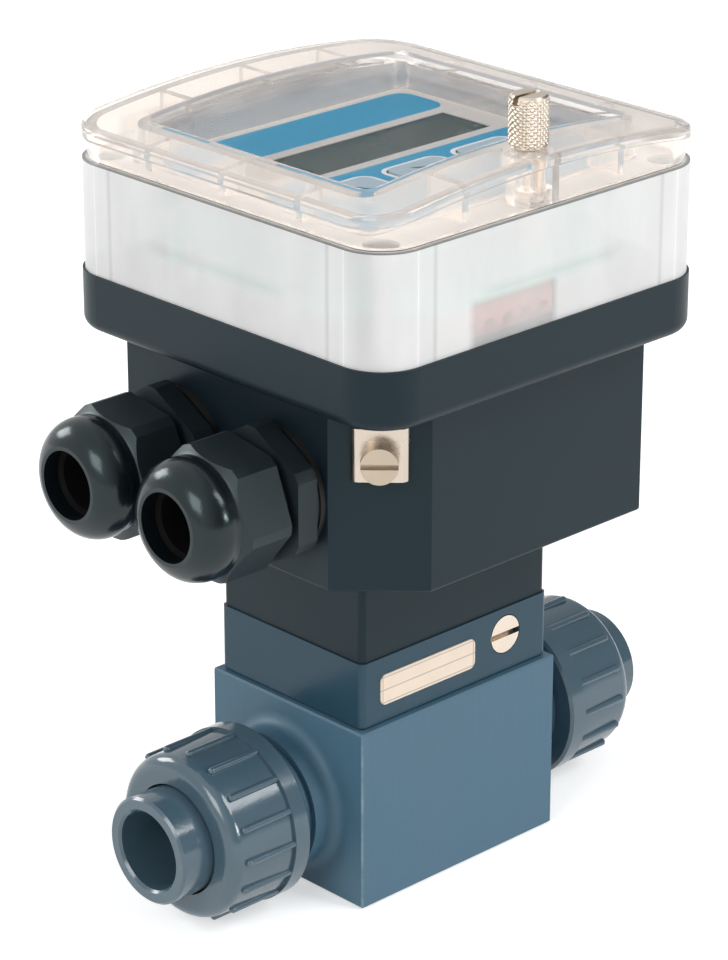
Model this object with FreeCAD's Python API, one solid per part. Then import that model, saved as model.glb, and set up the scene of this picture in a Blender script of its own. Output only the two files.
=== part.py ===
# Paddle wheel flow meter: a pipe block with two union ends, a paddle wheel in a plug-in holder,
# and a black head with two cable glands, a clear cover and a hinged clear lid over a display.
# Millimetres. Z is up, X runs along the pipe, the front of the head faces -Y.
# The origin is the centre of the underside of the pipe block.

import FreeCAD
import Part
import math
import os

V = FreeCAD.Vector
ORIGIN = V(0, 0, 0)
X_AXIS = V(1, 0, 0)
Y_AXIS = V(0, 1, 0)
Z_AXIS = V(0, 0, 1)
FULL_TURN = 360
HALF_TURN = 180
QUARTER_TURN = 90
HEX_SIDES = 6
SAME = 1e-4              # lengths closer than this are the same
SIDES = (-1, 1)

# Clearances
SEAT_PLAY = 0.02         # radial, a piece fixed in its hole
RUN_PLAY = 0.05          # radial, a shaft in its bearing
THREAD_PLAY = 0.10       # radial, a turning nut on its thread
MOVE_GAP = 0.30          # between pieces that move past each other
FIT_GAP = 0.20           # between pieces set into each other
SWING_PLAY = 0.75        # radial, room for the thumb screw when the lid swings

# Pipe block
PIPE_Z = 18.2            # height of the pipe axis
BLOCK_L = 54.2
BLOCK_W = 43.6
BLOCK_H = 38.2
BLOCK_EDGE = 0.4         # chamfer of all edges
FLOW_D = 13.0            # flow bore
CHAMBER_D = 24.2         # round chamber for the wheel
CHAMBER_GAP = 2.5        # between the wheel and the chamber's floor

# Union ends
OVERALL_L = 128.0        # socket end to socket end
SPIGOT_L = 20.5          # from the block's face
SPIGOT_D = 26.4          # thread outside
SPIGOT_NECK_D = 28.8
SPIGOT_NECK_L = 5.6
SPIGOT_COVE = 2.5        # fillet where the neck leaves the block
SOCKET_D = 16.2          # bore for a 16 mm pipe
SOCKET_DEPTH = 13.5
SOCKET_OD = 22.0
SOCKET_EDGE = 0.5        # chamfer of the mouth
FLANGE_D = 25.8
FLANGE_T = 4.3
FACE_SEAL_D = 19.2       # middle diameter of the O-ring
FACE_SEAL_W = 2.4
FACE_SEAL_T = 1.8        # squeezed height
SEAL_ROUND = 0.7         # edge rounding of the O-rings
NUT_L = 19.6
NUT_FRONT_T = 4.4
NUT_RING_D = 36.0        # smooth ring at the rear
NUT_RING_L = 4.2
NUT_RING_EDGE = 0.6
NUT_BARREL_D = 34.6
NUT_NOSE_D = 33.6
NUT_NOSE_R = 2.8
NUT_MOUTH_GAP = 0.4
BEAD_COUNT = 16          # raised axial beads
BEAD_D = 1.5
BEAD_END = 3.9           # from the front face to the bead's round end

# Sensor holder: collar above the block, stem and fork inside it
COLLAR_L = 51.8
COLLAR_W = 40.8
COLLAR_H = 14.1
COLLAR_CORNER = 1.3
COLLAR_FOOT = 0.4        # chamfer round the underside
STEM_D = 24.0
STEM_L = 5.0
STEM_SEAL_W = 2.4        # height of the O-ring's groove
STEM_SEAL_T = 1.6        # depth of the groove
STEM_SEAL_DROP = 1.3     # from the collar down to the groove
POCKET_FLOOR = 2.0       # wall between the probe and the wheel
WHEEL_GAP = 0.7          # between the wheel and the stem
WHEEL_D = 17.0
WHEEL_W = 8.0
HUB_D = 5.6
BLADE_COUNT = 4
BLADE_T = 2.6
BLADE_TILT = 45          # rest angle of the first blade
MAGNET_D = 1.5
MAGNET_L = 5.0
MAGNET_R = 6.6           # distance from the axis
AXLE_D = 2.0
FORK_GAP = 9.0
FORK_T = 3.0
FORK_W = 8.0
FORK_TIP = 3.4           # fork below the axle
BEARING_D = 4.0
HOLDER_SCREW_D = 3.0
HOLDER_HEAD_D = 5.5
HOLDER_HEAD_T = 3.0
HOLDER_HEAD_SINK = 5.0
HOLDER_SCREW_IN = 4.3    # from the collar's sides
HOLDER_SCREW_BITE = 10.0
HOLDER_KEY_D = 2.6       # socket in the head
HOLDER_KEY_T = 1.5

# Locking screw and rating plate on the front of the collar
LOCK_X = 13.9
LOCK_RISE = 8.3          # above the block
LOCK_HEAD_D = 7.9
LOCK_HEAD_T = 3.0
LOCK_SHANK_D = 4.0
LOCK_TIP = 5.0           # from the screw's tip to the middle of the collar
LOCK_SLOT_W = 1.2
LOCK_SLOT_T = 1.6
PLATE_X = -8.0
PLATE_RISE = 7.2
PLATE_L = 26.0
PLATE_H = 6.4
PLATE_T = 0.3
PLATE_CORNER = 1.4

# Black head: spigot, neck, box and rim in one moulding
PLUG_D = 29.6            # spigot in the collar
PLUG_L = 9.0
NECK_INSET = 0.35
NECK_H = 19.2
BOX_L = 72.0
BOX_H = 39.2
BOX_WALL = 2.8
BOX_FLOOR = 3.0
BOX_EDGE = 0.8
BOX_CHAMFER = 13.8       # upright corner that carries the earth terminal
RIM_OUT = 8.5            # rim beyond the ends of the box
RIM_H = 11.9
RIM_CORNER = 10.0
RIM_EDGE = 2.4
RIM_WALL = 4.5
RIM_FLOOR = 3.0
GASKET_W = 1.6
GASKET_T = 1.2
PROBE_D = 11.4
PROBE_FLANGE_D = 18.0
PROBE_FLANGE_T = 2.5

# Cable glands on the -X side, sizes outward from the wall
GLAND_PITCH = 28.5
GLAND_SIDE = 0.9         # from the rear locknut to the wall
GLAND_CORNER_GAP = 0.24  # from the front locknut to the cut corner
GLAND_RISE = 17.6        # above the bottom of the box
GLAND_THREAD_D = 20.4
GLAND_INNER_L = 9.0
GLAND_WASHER_D = 25.4
GLAND_WASHER_T = 1.2
GLAND_COLLAR_D = 24.6
GLAND_COLLAR_L = 1.3
GLAND_HEX_AF = 26.0
GLAND_HEX_T = 4.8
GLAND_HEX_ROUND_D = 28.8
GLAND_STEM_L = 12.5
GLAND_BORE_D = 17.0
GLAND_THROAT_D = 14.4
GLAND_NUT_GAP = 2.0
GLAND_NUT_AF = 24.4
GLAND_NUT_ROUND_D = 27.0
GLAND_NUT_TURN = 21      # rest angle of the nut's flats
GLAND_NUT_L = 11.2
GLAND_DOME_D = 24.0
GLAND_DOME_L = 8.2
GLAND_DOME_STEP = 1.2    # straight part of the dome
GLAND_MOUTH_D = 13.8
GLAND_LIP = 0.8
GLAND_MOUTH_T = 3.2
GLAND_SEAL_BORE_L = 5.5
GLAND_SEAL_D = 16.8
GLAND_SEAL_BORE = 12.4
GLAND_SEAL_EDGE = 0.8
GLAND_LOCK_AF = 23.6
GLAND_LOCK_T = 4.5

# Earth terminal on the chamfered corner
CLIP_W = 11.2
CLIP_H = 10.6
CLIP_T = 0.9
CLIP_DEPTH = 2.6         # plate stands this far off the corner
CLIP_BEND = 1.8
CLIP_RISE = 23.6         # above the bottom of the box
EARTH_RISE = 28.0
EARTH_HEAD_D = 7.2
EARTH_HEAD_T = 2.6
EARTH_D = 3.4
EARTH_BITE = 6.0
EARTH_BOSS_D = 8.0
EARTH_BOSS_L = 7.0
EARTH_WASHER_D = 7.8
EARTH_WASHER_T = 0.8
EARTH_SLOT_W = 1.1
EARTH_SLOT_T = 1.2

# Clear cover
COVER_INSET = 0.5
COVER_H = 22.3
COVER_WALL = 3.0
DECK_T = 2.7
POST_IN = 7.2            # corner screws, from the cover's sides
POST_D = 9.0
COVER_SCREW_D = 3.2
COVER_HEAD_D = 6.0
COVER_HEAD_T = 2.6
COVER_HEAD_SINK = 4.4
COVER_SCREW_BITE = 8.0
COVER_SLOT_W = 1.0
COVER_SLOT_T = 1.0
SEAM_GASKET_W = 1.0
SEAM_GASKET_T = 0.6
SEAM_GASKET_IN = 0.8

# Lid
LID_GAP = 0.25
LID_SIDE_H = 6.5         # at the corners
LID_RISE = 3.6           # of the arch at the middle
LID_EDGE = 1.0
LID_BAND_T = 2.3
LID_WALL_INSET = 1.0
LID_WALL_T = 2.2
WINDOW_IN_X = 9.5        # from the lid's sides to the window
WINDOW_IN_Y = 13.0
WINDOW_CORNER = 3.0
WINDOW_STEP = 0.7
FRAME_T = 2.0
RIB_T = 1.6
RIB_STEPS = (-1, 0, 1)    # ribs on each side of the window, in pitches
RIB_LIFT = 1.2           # ribs stop short of the lid's lower edge
SCREW_IN = 6.4           # thumb screw, from the lid's front
SCREW_BOSS_D = 10.0
SCREW_HEAD_D = 7.2
SCREW_HEAD_H = 10.2
SCREW_HEAD_EDGE = 0.4
SCREW_HEAD_GAP = 0.1
SCREW_D = 3.3
SCREW_REACH = 7.8        # below the seam
SCREW_SLOT_W = 1.1
SCREW_SLOT_T = 1.6
SCREW_CLIP_D = 6.0
SCREW_CLIP_T = 0.8
SCREW_CLIP_SINK = 2.6
SCREW_CLIP_LIFT = 0.6
INSERT_D = 6.4
INSERT_L = 7.3
INSERT_SINK = 1.2        # below the seam
INSERT_BOSS_D = 9.4
INSERT_FLOOR = 1.5

# Hinge at the back of the lid
HINGE_IN = 27.0          # middle of a hinge from the cover's sides
HINGE_OUT = 2.6          # axis behind the cover
KNUCKLE_D = 4.4
LID_KNUCKLE_L = 8.0
COVER_KNUCKLE_L = 5.0
PIN_D = 2.0

# Display under the window
LEDGE_T = 1.1            # ledge of the deck under the carrier
LEDGE_W = 3.4
DECK_LAP = 1.7           # deck opening beyond the window
CARRIER_T = 1.2
SKIRT_T = 1.8
SKIRT_H = 5.6
FOIL_T = 0.25
FOIL_MARGIN = 0.6
LCD_SIDE = 0.6           # from the carrier's skirt
LCD_W = 15.5
LCD_Y = 7.0
LCD_T = 3.6
LCD_SINK = 0.1
LCD_LAP = 1.0            # foil over the edge of the glass
KEY_L = 13.5
KEY_W = 9.0
KEY_FRONT = 16.3         # from the carrier's skirt to the middle of the keys
KEY_SIDE = 5.55          # from the carrier's skirt to the outer keys
KEY_CORNER = 2.0
KEY_PROUD = 0.3
KEY_FLANGE_T = 0.8
KEY_FLANGE_W = 0.8
KEY_TRAVEL = 0.4
SWITCH_L = 6.0
SWITCH_TIP_D = 3.2
SWITCH_TIP_H = 0.8
BOARD_T = 1.6

# Terminal board inside the cover
BOARD_RISE = 5.0         # above the rim
BOARD_IN = 2.6           # from the inside of the rim
BOARD_CORNER = 16.0      # cut corners
PILLAR_D = 4.6
PILLAR_IN = 7.4          # from the board's cut corners
BOARD_SCREW_D = 2.4
BOARD_HEAD_D = 4.2
BOARD_HEAD_T = 1.6
BOARD_SCREW_BITE = 6.0
BLOCK_TERMINAL_L = 24.0
BLOCK_TERMINAL_W = 10.0
BLOCK_TERMINAL_H = 9.0
BLOCK_TERMINAL_X = -3.0
BLOCK_TERMINAL_IN = 1.5
WAY_COUNT = 5
WAY_D = 3.0
WAY_DEPTH = 6.0
WAY_DROP = 3.2
CONNECTOR_L = 20.0
CONNECTOR_W = 5.0
CONNECTOR_IN = 9.1       # from the edge of the display board

# Sizes, heights and places that follow
RIM_W = BOX_L + 2 * RIM_OUT
INNER_CHAMFER = BOX_CHAMFER - (2 - math.sqrt(2)) * BOX_WALL
GLAND_ROOM = GLAND_CORNER_GAP + GLAND_LOCK_AF + GLAND_PITCH + GLAND_SIDE
BOX_W = 2 * BOX_WALL + INNER_CHAMFER + GLAND_ROOM
GLAND_REAR_Y = BOX_W / 2 - BOX_WALL - GLAND_SIDE - GLAND_LOCK_AF / 2
NECK_Z = BLOCK_H + COLLAR_H
BOX_Z = NECK_Z + NECK_H
RIM_Z = BOX_Z + BOX_H
COVER_Z = RIM_Z + RIM_H
SEAM_Z = COVER_Z + COVER_H
LID_Z = SEAM_Z + LID_GAP
LID_TOP_Z = SEAM_Z + LID_SIDE_H + LID_RISE
STEM_Z = BLOCK_H - STEM_L
WHEEL_Z = STEM_Z - WHEEL_GAP - WHEEL_D / 2
CHAMBER_Z = WHEEL_Z - WHEEL_D / 2 - CHAMBER_GAP
GLAND_Z = BOX_Z + GLAND_RISE
LOCK_Z = BLOCK_H + LOCK_RISE
SPIGOT_X = BLOCK_L / 2 + SPIGOT_L
FLANGE_X = SPIGOT_X + FLANGE_T
NUT_FRONT_X = FLANGE_X + MOVE_GAP + NUT_FRONT_T
NUT_REAR_X = NUT_FRONT_X - NUT_L
COVER_W = RIM_W - 2 * COVER_INSET
COVER_CORNER = RIM_CORNER - COVER_INSET
POST_XY = COVER_W / 2 - POST_IN
LID_WALL_W = COVER_W - 2 * LID_WALL_INSET
LID_WALL_CORNER = COVER_CORNER - LID_WALL_INSET
WINDOW_L = COVER_W - 2 * WINDOW_IN_X
WINDOW_W = COVER_W - 2 * WINDOW_IN_Y
RIB_PITCH = WINDOW_W / len(RIB_STEPS)
SCREW_Y = -COVER_W / 2 + SCREW_IN
HINGE_X = COVER_W / 2 - HINGE_IN
HINGE_Y = COVER_W / 2 + HINGE_OUT
INSERT_Z = SEAM_Z - INSERT_SINK - INSERT_L
GLAND_HEX_U = GLAND_WASHER_T + GLAND_COLLAR_L
GLAND_STEM_U = GLAND_HEX_U + GLAND_HEX_T
GLAND_NUT_U = GLAND_STEM_U + GLAND_NUT_GAP
GLAND_DOME_U = GLAND_NUT_U + GLAND_NUT_L
GLAND_END_U = GLAND_DOME_U + GLAND_DOME_L
GLAND_SHOULDER_U = GLAND_END_U - GLAND_MOUTH_T
OPEN_L = WINDOW_L + 2 * DECK_LAP
OPEN_W = WINDOW_W + 2 * DECK_LAP
CARRIER_L = OPEN_L - 2 * FIT_GAP
CARRIER_W = OPEN_W - 2 * FIT_GAP
SKIRT_L = OPEN_L - 2 * LEDGE_W - 2 * FIT_GAP
SKIRT_W = OPEN_W - 2 * LEDGE_W - 2 * FIT_GAP
LEDGE_Z = SEAM_Z - DECK_T + LEDGE_T
CARRIER_Z = LEDGE_Z + CARRIER_T
FOIL_Z = CARRIER_Z + FOIL_T
DISPLAY_Z = LEDGE_Z - SKIRT_H
LCD_L = SKIRT_L - 2 * SKIRT_T - 2 * LCD_SIDE
KEY_Y = KEY_FRONT + SKIRT_T - SKIRT_W / 2
KEY_PITCH = SKIRT_L / 2 - SKIRT_T - KEY_SIDE - KEY_L / 2
CONNECTOR_Y = SKIRT_W / 2 - CONNECTOR_IN
KEY_PLACES = {"left": -KEY_PITCH, "middle": 0, "right": KEY_PITCH}
GLAND_PLACES = {"front": GLAND_REAR_Y - GLAND_PITCH, "rear": GLAND_REAR_Y}
BOARD_Z = COVER_Z + BOARD_RISE
BOARD_TOP_Z = BOARD_Z + BOARD_T
RIM_POCKET_W = RIM_W - 2 * RIM_WALL
RIM_SHELF_Z = RIM_Z + RIM_FLOOR
PILLAR_X = (BOX_L / 2 - BOX_WALL + RIM_POCKET_W / 2) / 2
BOARD_W = RIM_POCKET_W - 2 * BOARD_IN
PILLAR_Y = BOARD_W / 2 - BOARD_CORNER - PILLAR_IN
PIN_HALF = LID_KNUCKLE_L / 2 + MOVE_GAP + COVER_KNUCKLE_L


# Shape helpers
def block(length, width, z0, z1, x=0, y=0):
    """Upright block centred on x and y."""
    return Part.makeBox(length, width, z1 - z0, V(x - length / 2, y - width / 2, z0))


def upright_edges(shape):
    return [e for e in shape.Edges if e.BoundBox.ZLength > e.BoundBox.DiagonalLength / 2]


def edges_at(shape, z):
    return [e for e in shape.Edges if e.BoundBox.ZLength < SAME and abs(e.BoundBox.ZMin - z) < SAME]


def circles_at(shape, x, radius):
    """Circular edges round the X direction at a given x and radius."""
    rings = [e for e in shape.Edges if isinstance(e.Curve, Part.Circle)]
    return [e for e in rings if abs(e.Curve.Center.x - x) < SAME and abs(e.Curve.Radius - radius) < SAME]


def rounded(length, width, corner, z0, z1, x=0, y=0):
    """Upright prism with round corners."""
    prism = block(length, width, z0, z1, x, y)
    return prism.makeFillet(corner, upright_edges(prism))


def rod(diameter, length, start, axis=Z_AXIS):
    return Part.makeCylinder(diameter / 2, length, start, axis)


def outline(points, place):
    """Face inside a closed outline. A pair of points in place of a point is an arc: its middle, its end."""
    edges = []
    last = place(*points[0])
    for item in points[1:] + points[:1]:
        if isinstance(item[0], tuple):
            middle, end = (place(*p) for p in item)
            edges.append(Part.Arc(last, middle, end).toShape())
        else:
            end = place(*item)
            edges.append(Part.makeLine(last, end))
        last = end
    return Part.Face(Part.Wire(edges))


def turned_on_x(points):
    """Solid of revolution about X from points (x, radius)."""
    return outline(points, lambda x, r: V(x, 0, r)).revolve(ORIGIN, X_AXIS, FULL_TURN)


def turned_on_z(points):
    """Solid of revolution about Z from points (radius, z)."""
    return outline(points, lambda r, z: V(r, 0, z)).revolve(ORIGIN, Z_AXIS, FULL_TURN)


def softened(ring, radius):
    """Ring with its round edges rounded."""
    return ring.makeFillet(radius, [e for e in ring.Edges if isinstance(e.Curve, Part.Circle)])


def bevelled(shape, size):
    """Round piece with its round edges chamfered."""
    return shape.makeChamfer(size, [e for e in shape.Edges if isinstance(e.Curve, Part.Circle)])


def hexagon_on_x(across_flats, x0, x1, turn=0):
    """Hexagonal bar along X, with a corner pointing up when turn is 0."""
    corner = V(0, 0, across_flats / math.sqrt(3))
    steps = [turn + FULL_TURN * i / HEX_SIDES for i in range(HEX_SIDES + 1)]
    ring = [FreeCAD.Rotation(X_AXIS, a).multVec(corner) + V(x0, 0, 0) for a in steps]
    return Part.Face(Part.makePolygon(ring)).extrude(V(x1 - x0, 0, 0))


def moved(shape, x=0, y=0, z=0):
    return shape.translated(V(x, y, z))


def at_end(shape, side):
    """Piece of the +X union end, lifted to the pipe axis and turned to the given end."""
    shape = shape.rotated(ORIGIN, Z_AXIS, 0 if side > 0 else HALF_TURN)
    return moved(shape, z=PIPE_Z)


def joined(first, *others):
    return first.multiFuse(list(others)).removeSplitter()


def corners(x, y):
    return [(a * x, b * y) for a in SIDES for b in SIDES]


# Pipe block and union ends
def spigot():
    neck_x = BLOCK_L / 2 + SPIGOT_NECK_L
    outside = [
        (0, 0),
        (0, SPIGOT_NECK_D / 2),
        (neck_x, SPIGOT_NECK_D / 2),
        (neck_x, SPIGOT_D / 2),
        (SPIGOT_X, SPIGOT_D / 2),
        (SPIGOT_X, 0),
    ]
    return turned_on_x(outside)


def face_seal_space(width):
    inner = (FACE_SEAL_D - width) / 2
    outer = (FACE_SEAL_D + width) / 2
    depth_x = SPIGOT_X - FACE_SEAL_T
    return turned_on_x([(depth_x, inner), (depth_x, outer), (SPIGOT_X, outer), (SPIGOT_X, inner)])


def holder_screw_places():
    return corners(COLLAR_L / 2 - HOLDER_SCREW_IN, COLLAR_W / 2 - HOLDER_SCREW_IN)


def fitting_block():
    body = block(BLOCK_L, BLOCK_W, 0, BLOCK_H)
    body = body.makeChamfer(BLOCK_EDGE, body.Edges)
    body = joined(body, *[at_end(spigot(), side) for side in SIDES])
    roots = [e for side in SIDES for e in circles_at(body, side * BLOCK_L / 2, SPIGOT_NECK_D / 2)]
    body = body.makeFillet(SPIGOT_COVE, roots)
    body = body.cut(rod(FLOW_D, 2 * SPIGOT_X, V(-SPIGOT_X, 0, PIPE_Z), X_AXIS))
    body = body.cut(rod(CHAMBER_D, BLOCK_H - CHAMBER_Z, V(0, 0, CHAMBER_Z)))
    for side in SIDES:
        body = body.cut(at_end(face_seal_space(FACE_SEAL_W + FIT_GAP), side))
    for x, y in holder_screw_places():
        start = V(x, y, BLOCK_H - HOLDER_SCREW_BITE)
        body = body.cut(rod(HOLDER_SCREW_D + 2 * SEAT_PLAY, HOLDER_SCREW_BITE, start))
    return body


def union_seal(side):
    return at_end(softened(face_seal_space(FACE_SEAL_W), SEAL_ROUND), side)


def union_end(side):
    mouth_x = OVERALL_L / 2
    stop_x = mouth_x - SOCKET_DEPTH
    section = [
        (SPIGOT_X, FLOW_D / 2),
        (SPIGOT_X, FLANGE_D / 2),
        (FLANGE_X, FLANGE_D / 2),
        (FLANGE_X, SOCKET_OD / 2),
        (mouth_x - SOCKET_EDGE, SOCKET_OD / 2),
        (mouth_x, SOCKET_OD / 2 - SOCKET_EDGE),
        (mouth_x, SOCKET_D / 2 + SOCKET_EDGE),
        (mouth_x - SOCKET_EDGE, SOCKET_D / 2),
        (stop_x, SOCKET_D / 2),
        (stop_x, FLOW_D / 2),
    ]
    return at_end(turned_on_x(section), side)


def nut_bead(angle):
    ring_x = NUT_REAR_X + NUT_RING_L
    end_x = NUT_FRONT_X - BEAD_END
    axis_r = (NUT_NOSE_D + BEAD_D / 2) / 2
    bead = rod(BEAD_D, end_x - ring_x, V(ring_x, 0, axis_r), X_AXIS)
    bead = bead.fuse(Part.makeSphere(BEAD_D / 2, V(end_x, 0, axis_r)))
    return bead.rotated(ORIGIN, X_AXIS, angle)


def union_nut(side):
    bore = SPIGOT_D / 2 + THREAD_PLAY
    mouth = SOCKET_OD / 2 + NUT_MOUTH_GAP
    ring_x = NUT_REAR_X + NUT_RING_L
    section = [
        (NUT_REAR_X, bore),
        (NUT_REAR_X, NUT_RING_D / 2 - NUT_RING_EDGE),
        (NUT_REAR_X + NUT_RING_EDGE, NUT_RING_D / 2),
        (ring_x, NUT_RING_D / 2),
        (ring_x, NUT_BARREL_D / 2),
        (NUT_FRONT_X, NUT_NOSE_D / 2),
        (NUT_FRONT_X, mouth),
        (FLANGE_X + MOVE_GAP, mouth),
        (FLANGE_X + MOVE_GAP, bore),
    ]
    nut = turned_on_x(section)
    nut = nut.makeFillet(NUT_NOSE_R, circles_at(nut, NUT_FRONT_X, NUT_NOSE_D / 2))
    beads = [nut_bead(FULL_TURN * i / BEAD_COUNT) for i in range(BEAD_COUNT)]
    return at_end(joined(nut, *beads), side)


# Sensor holder and paddle wheel
def stem_seal_space(inner_d, outer_d, z0, height):
    section = [
        (inner_d / 2, z0),
        (outer_d / 2, z0),
        (outer_d / 2, z0 + height),
        (inner_d / 2, z0 + height),
    ]
    return turned_on_z(section)


def fork_arm(side):
    y = side * (FORK_GAP + FORK_T) / 2
    return block(FORK_W, FORK_T, WHEEL_Z - FORK_TIP, STEM_Z + POCKET_FLOOR, y=y)


def axle_rod(diameter, half_length):
    return rod(diameter, 2 * half_length, V(0, -half_length, WHEEL_Z), Y_AXIS)


def lock_hole(head_d, shank_d):
    """Space of the locking screw, from the collar's front to the screw's tip."""
    front = V(LOCK_X, -COLLAR_W / 2, LOCK_Z)
    head = rod(head_d, LOCK_HEAD_T, front, Y_AXIS)
    return head.fuse(rod(shank_d, COLLAR_W / 2 - LOCK_TIP, front, Y_AXIS))


def sensor_holder():
    body = rounded(COLLAR_L, COLLAR_W, COLLAR_CORNER, BLOCK_H, NECK_Z)
    underside = min(body.Faces, key=lambda face: face.CenterOfMass.z)
    body = body.makeChamfer(COLLAR_FOOT, underside.Edges)
    body = joined(body, rod(STEM_D, STEM_L + COLLAR_H / 2, V(0, 0, STEM_Z)), *[fork_arm(s) for s in SIDES])
    recess_z = NECK_Z - PLUG_L - FIT_GAP
    body = body.cut(rod(PLUG_D + 2 * FIT_GAP, PLUG_L + FIT_GAP, V(0, 0, recess_z)))
    pocket_z = STEM_Z + POCKET_FLOOR
    body = body.cut(rod(PROBE_D + 2 * FIT_GAP, NECK_Z - pocket_z, V(0, 0, pocket_z)))
    groove_z = BLOCK_H - STEM_SEAL_DROP - STEM_SEAL_W - FIT_GAP
    groove_d = STEM_D - 2 * STEM_SEAL_T
    body = body.cut(stem_seal_space(groove_d, CHAMBER_D, groove_z, STEM_SEAL_W + FIT_GAP))
    body = body.cut(axle_rod(BEARING_D + 2 * SEAT_PLAY, FORK_GAP / 2 + FORK_T))
    body = body.cut(lock_hole(LOCK_HEAD_D + 2 * FIT_GAP, LOCK_SHANK_D + 2 * SEAT_PLAY))
    for x, y in holder_screw_places():
        body = body.cut(rod(HOLDER_SCREW_D + 2 * FIT_GAP, COLLAR_H, V(x, y, BLOCK_H)))
        sink = V(x, y, NECK_Z - HOLDER_HEAD_SINK)
        body = body.cut(rod(HOLDER_HEAD_D + 2 * FIT_GAP, HOLDER_HEAD_SINK, sink))
    return body


def holder_seal():
    groove_d = STEM_D - 2 * STEM_SEAL_T
    z0 = BLOCK_H - STEM_SEAL_DROP - STEM_SEAL_W
    return softened(stem_seal_space(groove_d, CHAMBER_D, z0, STEM_SEAL_W), SEAL_ROUND)


def holder_screws():
    screws = []
    head_z = NECK_Z - HOLDER_HEAD_SINK
    foot_z = BLOCK_H - HOLDER_SCREW_BITE
    for x, y in holder_screw_places():
        screw = rod(HOLDER_SCREW_D, head_z - foot_z, V(x, y, foot_z))
        screw = screw.fuse(rod(HOLDER_HEAD_D, HOLDER_HEAD_T, V(x, y, head_z)))
        key = V(x, y, head_z + HOLDER_HEAD_T - HOLDER_KEY_T)
        screws.append(screw.cut(rod(HOLDER_KEY_D, HOLDER_KEY_T, key)))
    return Part.makeCompound(screws)


def wheel_bearing(side):
    middle = side * (FORK_GAP + FORK_T) / 2
    start = V(0, middle - FORK_T / 2, WHEEL_Z)
    bush = rod(BEARING_D, FORK_T, start, Y_AXIS)
    return bush.cut(rod(AXLE_D + 2 * RUN_PLAY, FORK_T, start, Y_AXIS))


def wheel_axle():
    return axle_rod(AXLE_D, FORK_GAP / 2 + FORK_T)


def blade_angle(i):
    return BLADE_TILT + FULL_TURN * i / BLADE_COUNT


def about_axle(shape, i):
    return shape.rotated(V(0, 0, WHEEL_Z), Y_AXIS, blade_angle(i))


def magnet(i, play=0):
    start = V(0, -MAGNET_L / 2, WHEEL_Z + MAGNET_R)
    return about_axle(rod(MAGNET_D + 2 * play, MAGNET_L, start, Y_AXIS), i)


def paddle_wheel():
    body = axle_rod(HUB_D, WHEEL_W / 2)
    blade = block(BLADE_T, WHEEL_W, WHEEL_Z, WHEEL_Z + WHEEL_D / 2)
    body = joined(body, *[about_axle(blade, i) for i in range(BLADE_COUNT)])
    body = body.common(axle_rod(WHEEL_D, WHEEL_W / 2))
    body = body.cut(axle_rod(AXLE_D + 2 * SEAT_PLAY, WHEEL_W / 2))
    for i in range(BLADE_COUNT):
        body = body.cut(magnet(i, SEAT_PLAY))
    return body


def locking_screw():
    z0 = LOCK_Z - LOCK_SLOT_W / 2
    slot = block(LOCK_HEAD_D, 2 * LOCK_SLOT_T, z0, z0 + LOCK_SLOT_W, LOCK_X, -COLLAR_W / 2)
    return lock_hole(LOCK_HEAD_D, LOCK_SHANK_D).cut(slot)


def rating_plate():
    plate = rounded(PLATE_L, PLATE_H, PLATE_CORNER, 0, PLATE_T)
    plate = plate.rotated(ORIGIN, X_AXIS, QUARTER_TURN)
    return moved(plate, PLATE_X, -COLLAR_W / 2, BLOCK_H + PLATE_RISE)


# Black head
def box_prism(inset, chamfer, z0, z1):
    """Upright prism of the box outline with its cut corner at -X, -Y."""
    x = BOX_L / 2 - inset
    y = BOX_W / 2 - inset
    ring = [(chamfer - x, -y), (x, -y), (x, y), (-x, y), (-x, chamfer - y), (chamfer - x, -y)]
    face = Part.Face(Part.makePolygon([V(a, b, z0) for a, b in ring]))
    return face.extrude(V(0, 0, z1 - z0))


def on_chamfer(shape):
    """Piece made on the plane y = 0 facing -Y, put on the cut corner of the box."""
    shape = shape.rotated(ORIGIN, Z_AXIS, -QUARTER_TURN / 2)
    return moved(shape, (BOX_CHAMFER - BOX_L) / 2, (BOX_CHAMFER - BOX_W) / 2, BOX_Z)


def gasket_ring(width, z0, z1):
    """Ring along the middle of the rim's wall."""
    middle = RIM_W - RIM_WALL
    corner = RIM_CORNER - RIM_WALL / 2
    outer = rounded(middle + width, middle + width, corner + width / 2, z0, z1)
    return outer.cut(rounded(middle - width, middle - width, corner - width / 2, z0, z1))


def gland_place(shape, place):
    """Piece made along +X from the wall, put on the -X wall of the box."""
    shape = shape.rotated(ORIGIN, Z_AXIS, HALF_TURN)
    return moved(shape, -BOX_L / 2, GLAND_PLACES[place], GLAND_Z)


def post_places():
    return corners(POST_XY, POST_XY)


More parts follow.
